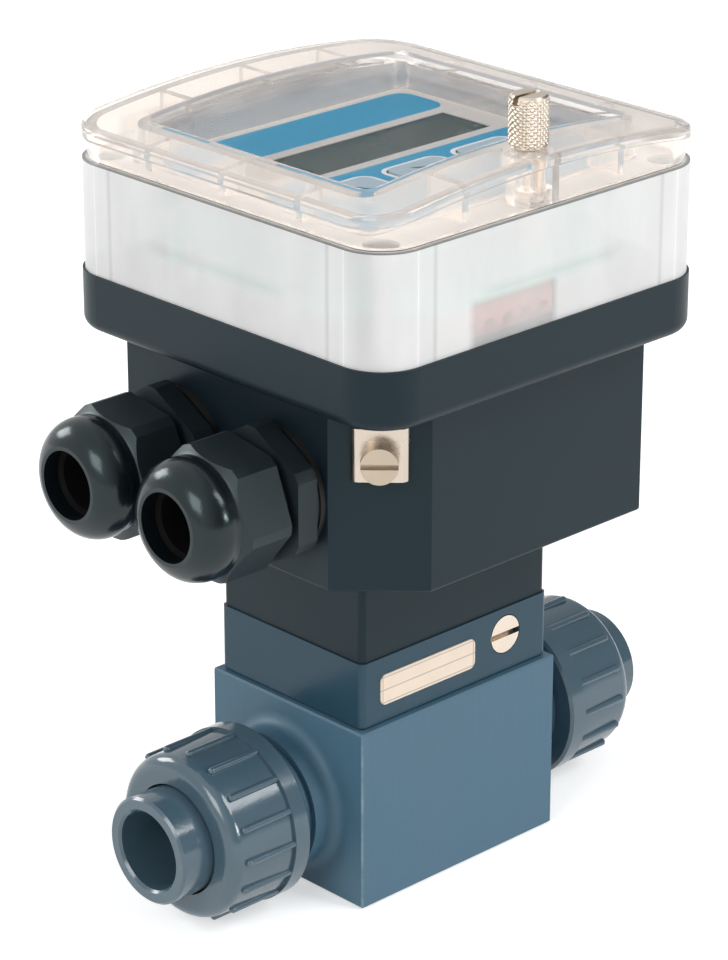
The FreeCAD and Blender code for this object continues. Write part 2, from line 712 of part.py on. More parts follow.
def head_housing():
    neck_l = COLLAR_L - 2 * NECK_INSET
    neck_w = COLLAR_W - 2 * NECK_INSET
    neck = rounded(neck_l, neck_w, COLLAR_CORNER, NECK_Z, BOX_Z + BOX_FLOOR)
    box = box_prism(0, BOX_CHAMFER, BOX_Z, RIM_Z + RIM_FLOOR)
    box = box.makeFillet(BOX_EDGE, edges_at(box, BOX_Z))
    rim = rounded(RIM_W, RIM_W, RIM_CORNER, RIM_Z, COVER_Z)
    rim = rim.makeFillet(RIM_EDGE, edges_at(rim, RIM_Z))
    plug = rod(PLUG_D, PLUG_L + NECK_H, V(0, 0, NECK_Z - PLUG_L))
    body = joined(neck, box, rim, plug)
    pocket = rounded(RIM_POCKET_W, RIM_POCKET_W, RIM_CORNER - RIM_WALL, RIM_SHELF_Z, COVER_Z)
    posts = [rod(POST_D, RIM_H, V(x, y, RIM_Z)) for x, y in post_places()]
    body = body.cut(pocket.cut(Part.makeCompound(posts)))
    body = body.cut(box_prism(BOX_WALL, INNER_CHAMFER, BOX_Z + BOX_FLOOR, RIM_SHELF_Z))
    body = body.fuse(on_chamfer(rod(EARTH_BOSS_D, EARTH_BOSS_L, V(0, 0, EARTH_RISE), Y_AXIS)))
    well_z = NECK_Z - PLUG_L
    body = body.cut(rod(PROBE_D + 2 * FIT_GAP, BOX_Z + BOX_FLOOR - well_z, V(0, 0, well_z)))
    body = body.cut(lock_hole(LOCK_SHANK_D, LOCK_SHANK_D + 2 * FIT_GAP))
    for place in GLAND_PLACES:
        hole = rod(GLAND_THREAD_D + 2 * SEAT_PLAY, BOX_WALL, V(-BOX_WALL, 0, 0), X_AXIS)
        body = body.cut(gland_place(hole, place))
    body = body.cut(on_chamfer(rod(EARTH_D + 2 * SEAT_PLAY, EARTH_BITE, V(0, 0, EARTH_RISE), Y_AXIS)))
    body = body.cut(gasket_ring(GASKET_W + FIT_GAP, COVER_Z - GASKET_T, COVER_Z))
    for x, y in post_places():
        start = V(x, y, COVER_Z - COVER_SCREW_BITE)
        body = body.cut(rod(COVER_SCREW_D + 2 * SEAT_PLAY, COVER_SCREW_BITE, start))
    return body


def hall_probe():
    tip_z = STEM_Z + POCKET_FLOOR + FIT_GAP
    floor_z = BOX_Z + BOX_FLOOR
    finger = rod(PROBE_D, floor_z - tip_z, V(0, 0, tip_z))
    return finger.fuse(rod(PROBE_FLANGE_D, PROBE_FLANGE_T, V(0, 0, floor_z)))


# Earth terminal
def ground_clip():
    """Strip bent back to the box at both sides."""
    top_z = CLIP_RISE + CLIP_H
    outer = rounded(CLIP_W, 2 * CLIP_DEPTH, CLIP_BEND, CLIP_RISE, top_z)
    room = 2 * (CLIP_DEPTH - CLIP_T)
    inner = rounded(CLIP_W - 2 * CLIP_T, room, CLIP_BEND - CLIP_T, CLIP_RISE, top_z)
    front = block(CLIP_W, CLIP_DEPTH, CLIP_RISE, top_z, y=-CLIP_DEPTH / 2)
    hole = rod(EARTH_D + 2 * FIT_GAP, CLIP_T, V(0, -CLIP_DEPTH, EARTH_RISE), Y_AXIS)
    return on_chamfer(outer.cut(inner).common(front).cut(hole))


def ground_washer():
    start = V(0, -CLIP_DEPTH - EARTH_WASHER_T, EARTH_RISE)
    washer = rod(EARTH_WASHER_D, EARTH_WASHER_T, start, Y_AXIS)
    return on_chamfer(washer.cut(rod(EARTH_D + 2 * FIT_GAP, EARTH_WASHER_T, start, Y_AXIS)))


def ground_screw():
    seat_y = -CLIP_DEPTH - EARTH_WASHER_T
    head_y = seat_y - EARTH_HEAD_T
    screw = rod(EARTH_HEAD_D, EARTH_HEAD_T, V(0, head_y, EARTH_RISE), Y_AXIS)
    screw = screw.fuse(rod(EARTH_D, EARTH_BITE - head_y, V(0, head_y, EARTH_RISE), Y_AXIS))
    z0 = EARTH_RISE - EARTH_SLOT_W / 2
    slot = block(EARTH_HEAD_D, 2 * EARTH_SLOT_T, z0, z0 + EARTH_SLOT_W, y=head_y)
    return on_chamfer(screw.cut(slot))


# Cable glands
def gland_body(place):
    bore = GLAND_BORE_D / 2
    throat = GLAND_THROAT_D / 2
    stem = GLAND_THREAD_D / 2
    end_u = GLAND_STEM_U + GLAND_STEM_L
    seat_u = end_u - GLAND_SEAL_BORE_L
    section = [
        (-GLAND_INNER_L, throat),
        (-GLAND_INNER_L, stem),
        (GLAND_WASHER_T, stem),
        (GLAND_WASHER_T, GLAND_COLLAR_D / 2),
        (GLAND_HEX_U, GLAND_COLLAR_D / 2),
        (GLAND_HEX_U, stem),
        (end_u, stem),
        (end_u, bore),
        (seat_u, bore),
        (seat_u, throat),
    ]
    nut = hexagon_on_x(GLAND_HEX_AF, GLAND_HEX_U, GLAND_STEM_U)
    nut = nut.common(rod(GLAND_HEX_ROUND_D, GLAND_STEM_U, ORIGIN, X_AXIS))
    nut = nut.cut(rod(GLAND_THROAT_D, GLAND_STEM_U, ORIGIN, X_AXIS))
    return gland_place(joined(turned_on_x(section), nut), place)


def gland_washer(place):
    ring = rod(GLAND_WASHER_D, GLAND_WASHER_T, ORIGIN, X_AXIS)
    hole = rod(GLAND_THREAD_D + 2 * SEAT_PLAY, GLAND_WASHER_T, ORIGIN, X_AXIS)
    return gland_place(ring.cut(hole), place)


def gland_locknut(place):
    outer_u = -BOX_WALL
    inner_u = outer_u - GLAND_LOCK_T
    nut = hexagon_on_x(GLAND_LOCK_AF, inner_u, outer_u)
    hole = rod(GLAND_THREAD_D + 2 * SEAT_PLAY, GLAND_LOCK_T, V(inner_u, 0, 0), X_AXIS)
    return gland_place(nut.cut(hole), place)


def gland_seal(place):
    """Rubber sleeve between the stem's seat and the shoulder in the nut."""
    seat_u = GLAND_STEM_U + GLAND_STEM_L - GLAND_SEAL_BORE_L
    end_u = GLAND_SHOULDER_U - MOVE_GAP
    section = [
        (seat_u, GLAND_SEAL_BORE / 2),
        (seat_u, GLAND_SEAL_D / 2),
        (end_u, GLAND_SEAL_D / 2),
        (end_u, GLAND_SEAL_BORE / 2 + GLAND_SEAL_EDGE),
        (end_u - GLAND_SEAL_EDGE, GLAND_SEAL_BORE / 2),
    ]
    return gland_place(turned_on_x(section), place)


def gland_nut(place):
    """Dome nut: hexagon at the rear, round dome with the cable mouth in front."""
    dome = GLAND_DOME_D / 2
    mouth = GLAND_MOUTH_D / 2
    lip = mouth + GLAND_LIP
    bore = GLAND_THREAD_D / 2 + THREAD_PLAY
    seal_bore = GLAND_SEAL_D / 2 + MOVE_GAP
    thread_end = GLAND_STEM_U + GLAND_STEM_L + MOVE_GAP
    step_u = GLAND_DOME_U + GLAND_DOME_STEP
    slant = math.sqrt(2) / 2
    middle = (step_u + (GLAND_END_U - step_u) * slant, lip + (dome - lip) * slant)
    section = [
        (GLAND_NUT_U, bore),
        (GLAND_NUT_U, dome),
        (step_u, dome),
        (middle, (GLAND_END_U, lip)),
        (GLAND_END_U, mouth),
        (GLAND_SHOULDER_U, mouth),
        (GLAND_SHOULDER_U, seal_bore),
        (thread_end, seal_bore),
        (thread_end, bore),
    ]
    corner = GLAND_NUT_ROUND_D / 2
    chamfer = corner - dome
    blank = turned_on_x([
        (GLAND_NUT_U, bore),
        (GLAND_NUT_U, corner),
        (GLAND_DOME_U - chamfer, corner),
        (GLAND_DOME_U, dome),
        (GLAND_DOME_U, bore),
    ])
    hexagon = hexagon_on_x(GLAND_NUT_AF, GLAND_NUT_U, GLAND_DOME_U, GLAND_NUT_TURN).common(blank)
    bore_gap = rod(2 * bore, thread_end - GLAND_NUT_U, V(GLAND_NUT_U, 0, 0), X_AXIS)
    return gland_place(joined(turned_on_x(section), hexagon).cut(bore_gap), place)


# Clear cover
def cover_gasket():
    return gasket_ring(GASKET_W, COVER_Z - GASKET_T, COVER_Z)


def knuckle(x, length):
    return rod(KNUCKLE_D, length, V(x - length / 2, HINGE_Y, SEAM_Z), X_AXIS)


def pin_hole(play):
    reach = HINGE_X + PIN_HALF
    return rod(PIN_D + 2 * play, 2 * reach, V(-reach, HINGE_Y, SEAM_Z), X_AXIS)


def cover_knuckles():
    pieces = []
    for side in SIDES:
        for end in SIDES:
            x = side * HINGE_X + end * (PIN_HALF - COVER_KNUCKLE_L / 2)
            web_y = (COVER_W / 2 - COVER_WALL / 2 + HINGE_Y) / 2
            web_w = HINGE_OUT + COVER_WALL / 2
            web = block(COVER_KNUCKLE_L, web_w, SEAM_Z - KNUCKLE_D / 2, SEAM_Z, x, web_y)
            pieces += [knuckle(x, COVER_KNUCKLE_L), web]
    return pieces


def seam_gasket_ring(width, z0, z1):
    outer = LID_WALL_W - 2 * SEAM_GASKET_IN + width
    corner = LID_WALL_CORNER - SEAM_GASKET_IN + width / 2
    ring = rounded(outer, outer, corner, z0, z1)
    return ring.cut(rounded(outer - 2 * width, outer - 2 * width, corner - width, z0, z1))


def clear_cover():
    deck_z = SEAM_Z - DECK_T
    shell = rounded(COVER_W, COVER_W, COVER_CORNER, COVER_Z, SEAM_Z)
    inner_w = COVER_W - 2 * COVER_WALL
    room = rounded(inner_w, inner_w, COVER_CORNER - COVER_WALL, COVER_Z, deck_z)
    posts = [rod(POST_D, COVER_H, V(x, y, COVER_Z)) for x, y in post_places()]
    boss_l = INSERT_SINK + INSERT_L + INSERT_FLOOR
    posts.append(rod(INSERT_BOSS_D, boss_l, V(0, SCREW_Y, SEAM_Z - boss_l)))
    inside = rounded(COVER_W, COVER_W, COVER_CORNER, COVER_Z, SEAM_Z)
    body = joined(shell.cut(room), *[p.common(inside) for p in posts], *cover_knuckles())
    body = body.cut(rounded(OPEN_L, OPEN_W, WINDOW_CORNER, LEDGE_Z, SEAM_Z))
    below = (OPEN_L - 2 * LEDGE_W, OPEN_W - 2 * LEDGE_W)
    body = body.cut(rounded(*below, WINDOW_CORNER, deck_z, LEDGE_Z))
    body = body.cut(rod(INSERT_D + 2 * SEAT_PLAY, INSERT_L, V(0, SCREW_Y, INSERT_Z)))
    body = body.cut(rod(SCREW_D + 2 * SWING_PLAY, INSERT_L + INSERT_SINK, V(0, SCREW_Y, INSERT_Z)))
    for x, y in post_places():
        body = body.cut(rod(COVER_SCREW_D + 2 * FIT_GAP, COVER_H, V(x, y, COVER_Z)))
        sink = V(x, y, SEAM_Z - COVER_HEAD_SINK)
        body = body.cut(rod(COVER_HEAD_D + 2 * FIT_GAP, COVER_HEAD_SINK, sink))
    body = body.cut(seam_gasket_ring(SEAM_GASKET_W + FIT_GAP, SEAM_Z - SEAM_GASKET_T, SEAM_Z))
    return body.cut(pin_hole(SEAT_PLAY))


def cover_screws():
    screws = []
    head_z = SEAM_Z - COVER_HEAD_SINK
    foot_z = COVER_Z - COVER_SCREW_BITE
    for x, y in post_places():
        screw = rod(COVER_SCREW_D, head_z - foot_z, V(x, y, foot_z))
        screw = screw.fuse(rod(COVER_HEAD_D, COVER_HEAD_T, V(x, y, head_z)))
        top_z = head_z + COVER_HEAD_T
        slot = block(COVER_HEAD_D, COVER_SLOT_W, top_z - COVER_SLOT_T, top_z, x, y)
        screws.append(screw.cut(slot))
    return Part.makeCompound(screws)


def lid_gasket():
    return seam_gasket_ring(SEAM_GASKET_W, SEAM_Z - SEAM_GASKET_T, SEAM_Z)


def screw_insert():
    start = V(0, SCREW_Y, INSERT_Z)
    sleeve = rod(INSERT_D, INSERT_L, start)
    return sleeve.cut(rod(SCREW_D + 2 * SWING_PLAY, INSERT_L, start))


def hinge_pins():
    pins = [
        rod(PIN_D, 2 * PIN_HALF, V(side * HINGE_X - PIN_HALF, HINGE_Y, SEAM_Z), X_AXIS) for side in SIDES
    ]
    return Part.makeCompound(pins)


# Lid
def arch(depth):
    """Round vault along Y whose surface lies this far below the lid's top."""
    half = COVER_W / 2
    radius = (half ** 2 + LID_RISE ** 2) / (2 * LID_RISE)
    start = V(0, -COVER_W, LID_TOP_Z - radius)
    return rod(2 * (radius - depth), 2 * COVER_W, start, Y_AXIS)


def lid_ribs():
    """Webs between the lid's wall and the frame round the window, none where the screw boss is."""
    z0 = LID_Z + RIB_LIFT
    wall = LID_WALL_W / 2 - LID_WALL_T / 2
    frame_x = (WINDOW_L + FRAME_T) / 2
    frame_y = (WINDOW_W + FRAME_T) / 2
    webs = []
    for side in SIDES:
        for step in RIB_STEPS:
            mid_x = side * (wall + frame_x) / 2
            webs.append(block(wall - frame_x, RIB_T, z0, LID_TOP_Z, mid_x, step * RIB_PITCH))
            if side > 0 or step != 0:
                mid_y = side * (wall + frame_y) / 2
                webs.append(block(RIB_T, wall - frame_y, z0, LID_TOP_Z, step * RIB_PITCH, mid_y))
    return webs


def lid_knuckles():
    pieces = []
    for side in SIDES:
        x = side * HINGE_X
        inner_y = LID_WALL_W / 2 - LID_WALL_T / 2
        web_w = HINGE_Y - inner_y
        web = block(LID_KNUCKLE_L, web_w, LID_Z, SEAM_Z + KNUCKLE_D / 2, x, inner_y + web_w / 2)
        pieces += [knuckle(x, LID_KNUCKLE_L), web]
    return pieces


def lid():
    under = arch(LID_BAND_T / 2)
    plate = rounded(COVER_W, COVER_W, COVER_CORNER, LID_Z, LID_TOP_Z).common(arch(0))
    vault = max(plate.Faces, key=lambda face: face.CenterOfMass.z)
    plate = plate.makeFillet(LID_EDGE, vault.Edges).cut(arch(LID_BAND_T))
    wall = rounded(LID_WALL_W, LID_WALL_W, LID_WALL_CORNER, LID_Z, LID_TOP_Z)
    room_w = LID_WALL_W - 2 * LID_WALL_T
    boss = rod(SCREW_BOSS_D, LID_TOP_Z - LID_Z, V(0, SCREW_Y, LID_Z)).common(wall)
    wall = wall.cut(rounded(room_w, room_w, LID_WALL_CORNER - LID_WALL_T, LID_Z, LID_TOP_Z))
    window = (WINDOW_L, WINDOW_W, WINDOW_CORNER)
    around = (WINDOW_L + 2 * FRAME_T, WINDOW_W + 2 * FRAME_T, WINDOW_CORNER + FRAME_T)
    frame = rounded(*around, LID_Z, LID_TOP_Z).cut(rounded(*window, LID_Z, LID_TOP_Z))
    uprights = [s.common(under) for s in (wall, frame, boss, *lid_ribs())]
    body = joined(plate, *uprights, *lid_knuckles())
    body = body.cut(rounded(*window, LID_Z, LID_TOP_Z).cut(arch(WINDOW_STEP)))
    hole = rod(SCREW_D + 2 * MOVE_GAP, LID_TOP_Z - LID_Z, V(0, SCREW_Y, LID_Z))
    body = body.cut(hole)
    body = body.cut(rod(SCREW_CLIP_D + 2 * MOVE_GAP, SCREW_CLIP_SINK, V(0, SCREW_Y, LID_Z)))
    return body.cut(pin_hole(RUN_PLAY))


def thumb_screw():
    head_z = LID_TOP_Z + SCREW_HEAD_GAP
    foot_z = SEAM_Z - SCREW_REACH
    head = rod(SCREW_HEAD_D, SCREW_HEAD_H, V(0, SCREW_Y, head_z))
    head = bevelled(head, SCREW_HEAD_EDGE)
    screw = head.fuse(rod(SCREW_D, head_z - foot_z, V(0, SCREW_Y, foot_z)))
    top_z = head_z + SCREW_HEAD_H
    return screw.cut(block(SCREW_HEAD_D, SCREW_SLOT_W, top_z - SCREW_SLOT_T, top_z, 0, SCREW_Y))


def screw_clip():
    start = V(0, SCREW_Y, LID_Z + SCREW_CLIP_LIFT)
    ring = rod(SCREW_CLIP_D, SCREW_CLIP_T, start)
    return ring.cut(rod(SCREW_D + 2 * SEAT_PLAY, SCREW_CLIP_T, start))


# Display
def key_space(x, play, z0, z1, flange=0):
    grow = 2 * (play + flange)
    return rounded(KEY_L + grow, KEY_W + grow, KEY_CORNER, z0, z1, x, KEY_Y)


def lcd_space(play, z0, z1):
    return block(LCD_L + 2 * play, LCD_W + 2 * play, z0, z1, y=LCD_Y)


def display_carrier():
    plate = rounded(CARRIER_L, CARRIER_W, WINDOW_CORNER, LEDGE_Z, CARRIER_Z)
    skirt = rounded(SKIRT_L, SKIRT_W, WINDOW_CORNER, DISPLAY_Z, LEDGE_Z)
    skirt = skirt.cut(block(SKIRT_L - 2 * SKIRT_T, SKIRT_W - 2 * SKIRT_T, DISPLAY_Z, LEDGE_Z))
    body = joined(plate, skirt)
    body = body.cut(lcd_space(FIT_GAP, LEDGE_Z, CARRIER_Z))
    for x in KEY_PLACES.values():
        body = body.cut(key_space(x, MOVE_GAP, LEDGE_Z, CARRIER_Z))
    return body


def display_foil():
    inset = 2 * FOIL_MARGIN
    foil = rounded(CARRIER_L - inset, CARRIER_W - inset, WINDOW_CORNER, CARRIER_Z, FOIL_Z)
    foil = foil.cut(lcd_space(-LCD_LAP, CARRIER_Z, FOIL_Z))
    for x in KEY_PLACES.values():
        foil = foil.cut(key_space(x, MOVE_GAP, CARRIER_Z, FOIL_Z))
    return foil


def lcd_module():
    top_z = CARRIER_Z - LCD_SINK
    glass = lcd_space(0, top_z - LCD_T, top_z)
    foot = block(LCD_L / 2, LCD_W / 2, DISPLAY_Z, top_z - LCD_T, y=LCD_Y)
    return joined(glass, foot)


def key_flange_z():
    return LEDGE_Z - FIT_GAP


def key(place):
    x = KEY_PLACES[place]
    foot_z = key_flange_z() - KEY_FLANGE_T
    cap = key_space(x, 0, foot_z, FOIL_Z + KEY_PROUD)
    flange = key_space(x, 0, foot_z, key_flange_z(), KEY_FLANGE_W)
    return joined(cap, flange)


def switch(place):
    x = KEY_PLACES[place]
    top_z = key_flange_z() - KEY_FLANGE_T - KEY_TRAVEL - SEAT_PLAY
    can = block(SWITCH_L, SWITCH_L, DISPLAY_Z, top_z - SWITCH_TIP_H, x, KEY_Y)
    return joined(can, rod(SWITCH_TIP_D, SWITCH_TIP_H, V(x, KEY_Y, top_z - SWITCH_TIP_H)))


def display_board():
    return block(SKIRT_L, SKIRT_W, DISPLAY_Z - BOARD_T, DISPLAY_Z)


def board_connector():
    return block(CONNECTOR_L, CONNECTOR_W, BOARD_TOP_Z, DISPLAY_Z - BOARD_T, y=CONNECTOR_Y)


# Terminal board
def pillar_places():
    return corners(PILLAR_X, PILLAR_Y)


def terminal_board():
    board = block(BOARD_W, BOARD_W, BOARD_Z, BOARD_TOP_Z)
    board = board.makeChamfer(BOARD_CORNER, upright_edges(board))
    for x, y in pillar_places():
        board = board.cut(rod(BOARD_SCREW_D + 2 * FIT_GAP, BOARD_T, V(x, y, BOARD_Z)))
    return board


def board_pillars():
    pillars = []
    for x, y in pillar_places():
        pillar = rod(PILLAR_D, BOARD_Z - RIM_SHELF_Z, V(x, y, RIM_SHELF_Z))
        bite = V(x, y, BOARD_Z - BOARD_SCREW_BITE)
        pillars.append(pillar.cut(rod(BOARD_SCREW_D + 2 * SEAT_PLAY, BOARD_SCREW_BITE, bite)))
    return Part.makeCompound(pillars)


def board_screws():
    screws = []
    for x, y in pillar_places():
        foot_z = BOARD_Z - BOARD_SCREW_BITE
        screw = rod(BOARD_SCREW_D, BOARD_TOP_Z - foot_z, V(x, y, foot_z))
        screws.append(screw.fuse(rod(BOARD_HEAD_D, BOARD_HEAD_T, V(x, y, BOARD_TOP_Z))))
    return Part.makeCompound(screws)


def terminal_block():
    front_y = -BOARD_W / 2 + BLOCK_TERMINAL_IN
    middle_y = front_y + BLOCK_TERMINAL_W / 2
    foot_z = BOARD_Z - BLOCK_TERMINAL_H
    body = block(BLOCK_TERMINAL_L, BLOCK_TERMINAL_W, foot_z, BOARD_Z, BLOCK_TERMINAL_X, middle_y)
    pitch = BLOCK_TERMINAL_L / WAY_COUNT
    for i in range(WAY_COUNT):
        x = BLOCK_TERMINAL_X + (i - (WAY_COUNT - 1) / 2) * pitch
        body = body.cut(rod(WAY_D, WAY_DEPTH, V(x, front_y, foot_z + WAY_DROP), Y_AXIS))
    return body


def all_pieces():
    pieces = {
        "fitting_block": fitting_block(),
        "sensor_holder": sensor_holder(),
        "holder_seal": holder_seal(),
        "holder_screws": holder_screws(),
        "wheel_axle": wheel_axle(),
        "paddle_wheel": paddle_wheel(),
        "locking_screw": locking_screw(),
        "rating_plate": rating_plate(),
        "head_housing": head_housing(),
        "hall_probe": hall_probe(),
        "ground_clip": ground_clip(),
        "ground_washer": ground_washer(),
        "ground_screw": ground_screw(),
        "cover_gasket": cover_gasket(),
        "clear_cover": clear_cover(),
        "cover_screws": cover_screws(),
        "lid_gasket": lid_gasket(),
        "screw_insert": screw_insert(),
        "hinge_pins": hinge_pins(),
        "lid": lid(),
        "thumb_screw": thumb_screw(),
        "screw_clip": screw_clip(),
        "display_carrier": display_carrier(),
        "display_foil": display_foil(),
        "lcd_module": lcd_module(),
        "display_board": display_board(),
        "board_connector": board_connector(),
        "terminal_board": terminal_board(),
        "board_pillars": board_pillars(),
        "board_screws": board_screws(),
        "terminal_block": terminal_block(),
    }
    for name, side in (("inlet", -1), ("outlet", 1)):
        pieces[name + "_union_nut"] = union_nut(side)
        pieces[name + "_union_end"] = union_end(side)
        pieces[name + "_union_seal"] = union_seal(side)
    for name, side in (("front", -1), ("rear", 1)):
        pieces[name + "_bearing"] = wheel_bearing(side)
    for i in range(BLADE_COUNT):
        pieces["magnet_%d" % (i + 1)] = magnet(i)
    for name in GLAND_PLACES:
        pieces[name + "_gland_body"] = gland_body(name)
        pieces[name + "_gland_nut"] = gland_nut(name)
        pieces[name + "_gland_seal"] = gland_seal(name)
        pieces[name + "_gland_washer"] = gland_washer(name)
        pieces[name + "_gland_locknut"] = gland_locknut(name)
    for name in KEY_PLACES:
        pieces[name + "_key"] = key(name)
        pieces[name + "_switch"] = switch(name)
    return pieces


os.makedirs("parts", exist_ok=True)
for node, shape in all_pieces().items():
    shape.exportStep("parts/%s.step" % node)
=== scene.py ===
import math

import bmesh
import bpy
from bpy.props import FloatProperty, FloatVectorProperty, IntProperty, PointerProperty
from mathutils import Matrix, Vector


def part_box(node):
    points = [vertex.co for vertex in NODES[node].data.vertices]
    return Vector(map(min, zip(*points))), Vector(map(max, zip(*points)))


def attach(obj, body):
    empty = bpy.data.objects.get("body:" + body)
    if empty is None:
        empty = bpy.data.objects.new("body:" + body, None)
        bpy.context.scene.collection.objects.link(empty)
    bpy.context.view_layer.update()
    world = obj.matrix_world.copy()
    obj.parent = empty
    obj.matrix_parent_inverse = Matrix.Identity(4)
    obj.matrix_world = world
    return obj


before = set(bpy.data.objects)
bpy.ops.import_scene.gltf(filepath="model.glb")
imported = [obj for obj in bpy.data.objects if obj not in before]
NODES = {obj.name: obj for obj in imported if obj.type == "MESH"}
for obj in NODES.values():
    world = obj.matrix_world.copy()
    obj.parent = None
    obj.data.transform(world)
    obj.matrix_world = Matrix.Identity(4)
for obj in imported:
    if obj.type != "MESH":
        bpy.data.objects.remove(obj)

bl_info = {
    "name": "Paddle wheel flow meter",
    "version": (1, 0, 0),
    "blender": (4, 5, 0),
    "location": "View3D > Sidebar > Flow Meter",
    "description": "Finishes, printed display, knurled screw and studio for a paddle wheel flow meter",
    "category": "Object",
}

MM = 0.001
GLANDS = ("front", "rear")
ENDS = ("inlet", "outlet")
KEYS = ("left", "middle", "right")
WHITE = (1.0, 1.0, 1.0)

NOISE_MIDDLE = (0.3, 0.7)             # holds most values of a noise texture
EVEN_GRAIN = (2200, 2200, 2200)       # fine marks with no direction
COOL_SHINE = (0.78, 0.98, 1.0)        # tint of the reflections on the glands
BLUE_SHINE = (0.72, 0.96, 1.0)        # tint of the reflections on the head

SEEN_RAYS = ("Is Camera Ray", "Is Glossy Ray", "Is Transmission Ray")
SENSOR_WIDTH = 36
CLIP_NEAR, CLIP_FAR = 0.01, 20
FLOOR_HALF = 6
FLOOR_DROP = 0.2 * MM
GREY_SIDE = (1.0, -0.8, -0.25)        # where the surroundings look greyer in reflections
GREY_FADE = (-0.25, 0.45)
LAMP_AIM = (0, 0, 0.09)
LAMPS = (                             # name, place, width, setting with the power
    ("key_lamp", (0.75, -1.25, 1.45), 0.8, "key_power"),
    ("fill_lamp", (-1.5, -0.35, 0.9), 0.8, "fill_power"),
    ("front_lamp", (0.5, -1.5, 0.45), 0.3, "front_power"),
    ("rim_lamp", (-0.45, 1.5, 0.75), 0.6, "rim_power"),
)


# Settings
def colour(name, default):
    """Colour setting, linear red, green and blue."""
    return FloatVectorProperty(
        name=name, description="Colour of the " + name.lower(), subtype="COLOR", size=3, min=0, max=1,
        default=default
    )


def length(name, description, default):
    """Length setting in metres."""
    return FloatProperty(name=name, description=description, default=default, unit="LENGTH", precision=5)


def factor(name, description, default):
    """Setting without a unit."""
    return FloatProperty(name=name, description=description, default=default, subtype="FACTOR")


def power(name, description, default):
    """Lamp power in watts."""
    return FloatProperty(name=name, description=description, default=default, unit="POWER")


def angle(name, description, degrees):
    """Angle setting, given in degrees."""
    return FloatProperty(name=name, description=description, default=math.radians(degrees), unit="ROTATION")


class FlowMeterColours(bpy.types.PropertyGroup):
    """Base colours of the finishes."""

    block: colour("Pipe block", (0.066, 0.150, 0.218))
    pale: colour("Pale patches of the block", (0.08052, 0.183, 0.26596))
    worn: colour("Worn edges of the block", (0.42, 0.52, 0.57))
    collar: colour("Grey collar", (0.025, 0.068, 0.101))
    # painted shade: colour of the shade painted along the collar's foot, at its joint with the block
    joint: colour("Joint under the collar", (0.003, 0.004, 0.005))
    moulded: colour("Union nuts and ends", (0.064, 0.116, 0.154))
    housing: colour("Black head", (0.008, 0.016, 0.023))
    gland: colour("Cable glands", (0.006, 0.009, 0.011))
    rubber: colour("Rubber", (0.020, 0.019, 0.018))
    sleeve: colour("Gland sleeves", (0.004, 0.004, 0.004))
    nickel: colour("Nickel pieces", (0.78, 0.68, 0.58))
    # painted shade: dark colour painted into the knurl's grooves
    painted_groove_shade: colour("Grooves of the knurl", (0.10, 0.085, 0.07))
    clip: colour("Earth clip", (0.6084, 0.5304, 0.4524))
    brass: colour("Earth screw", (0.50, 0.42, 0.33))
    steel: colour("Steel pieces", (0.60, 0.60, 0.61))
    magnet: colour("Magnets", (0.24, 0.24, 0.25))
    plate: colour("Rating plate", (0.92, 0.77, 0.63))
    plate_line: colour("Lines of the plate", (0.06, 0.06, 0.06))
    clear: colour("Clear lid", (1.0, 0.945, 0.90))
    # painted shade: grey painted on the inner walls of the lid's window
    window_wall_shade: colour("Walls of the lid's window", (0.40, 0.40, 0.41))
    frosted: colour("Frosted cover", (0.95, 0.955, 0.95))
    # painted shade: grey of the lines painted beside the cover's corner posts
    painted_post_shade: colour("Post lines of the cover", (0.55, 0.55, 0.55))
    seam: colour("Seam of the cover", (0.03, 0.03, 0.03))
    foil: colour("Display foil", (0.62, 0.59, 0.56))
    blue: colour("Printed blue", (0.015, 0.310, 0.540))
    outline: colour("Key outlines", (0.86, 0.86, 0.84))
    lcd: colour("Display glass", (0.036, 0.060, 0.057))
    grid: colour("Grid of the display glass", (0.01, 0.012, 0.012))
    key: colour("Keys", (0.42, 0.53, 0.61))
    symbol: colour("Key symbols", (0.020, 0.035, 0.050))
    dark: colour("Display carrier and switches", (0.03, 0.03, 0.03))
    board: colour("Circuit boards", (0.060, 0.480, 0.360))
    terminal: colour("Terminal block", (1.0, 0.380, 0.290))
    wheel: colour("Paddle wheel", (0.78, 0.78, 0.74))
    bearing: colour("Bearings", (0.663, 0.663, 0.629))
    floor: colour("Floor", (0.86, 0.86, 0.86))


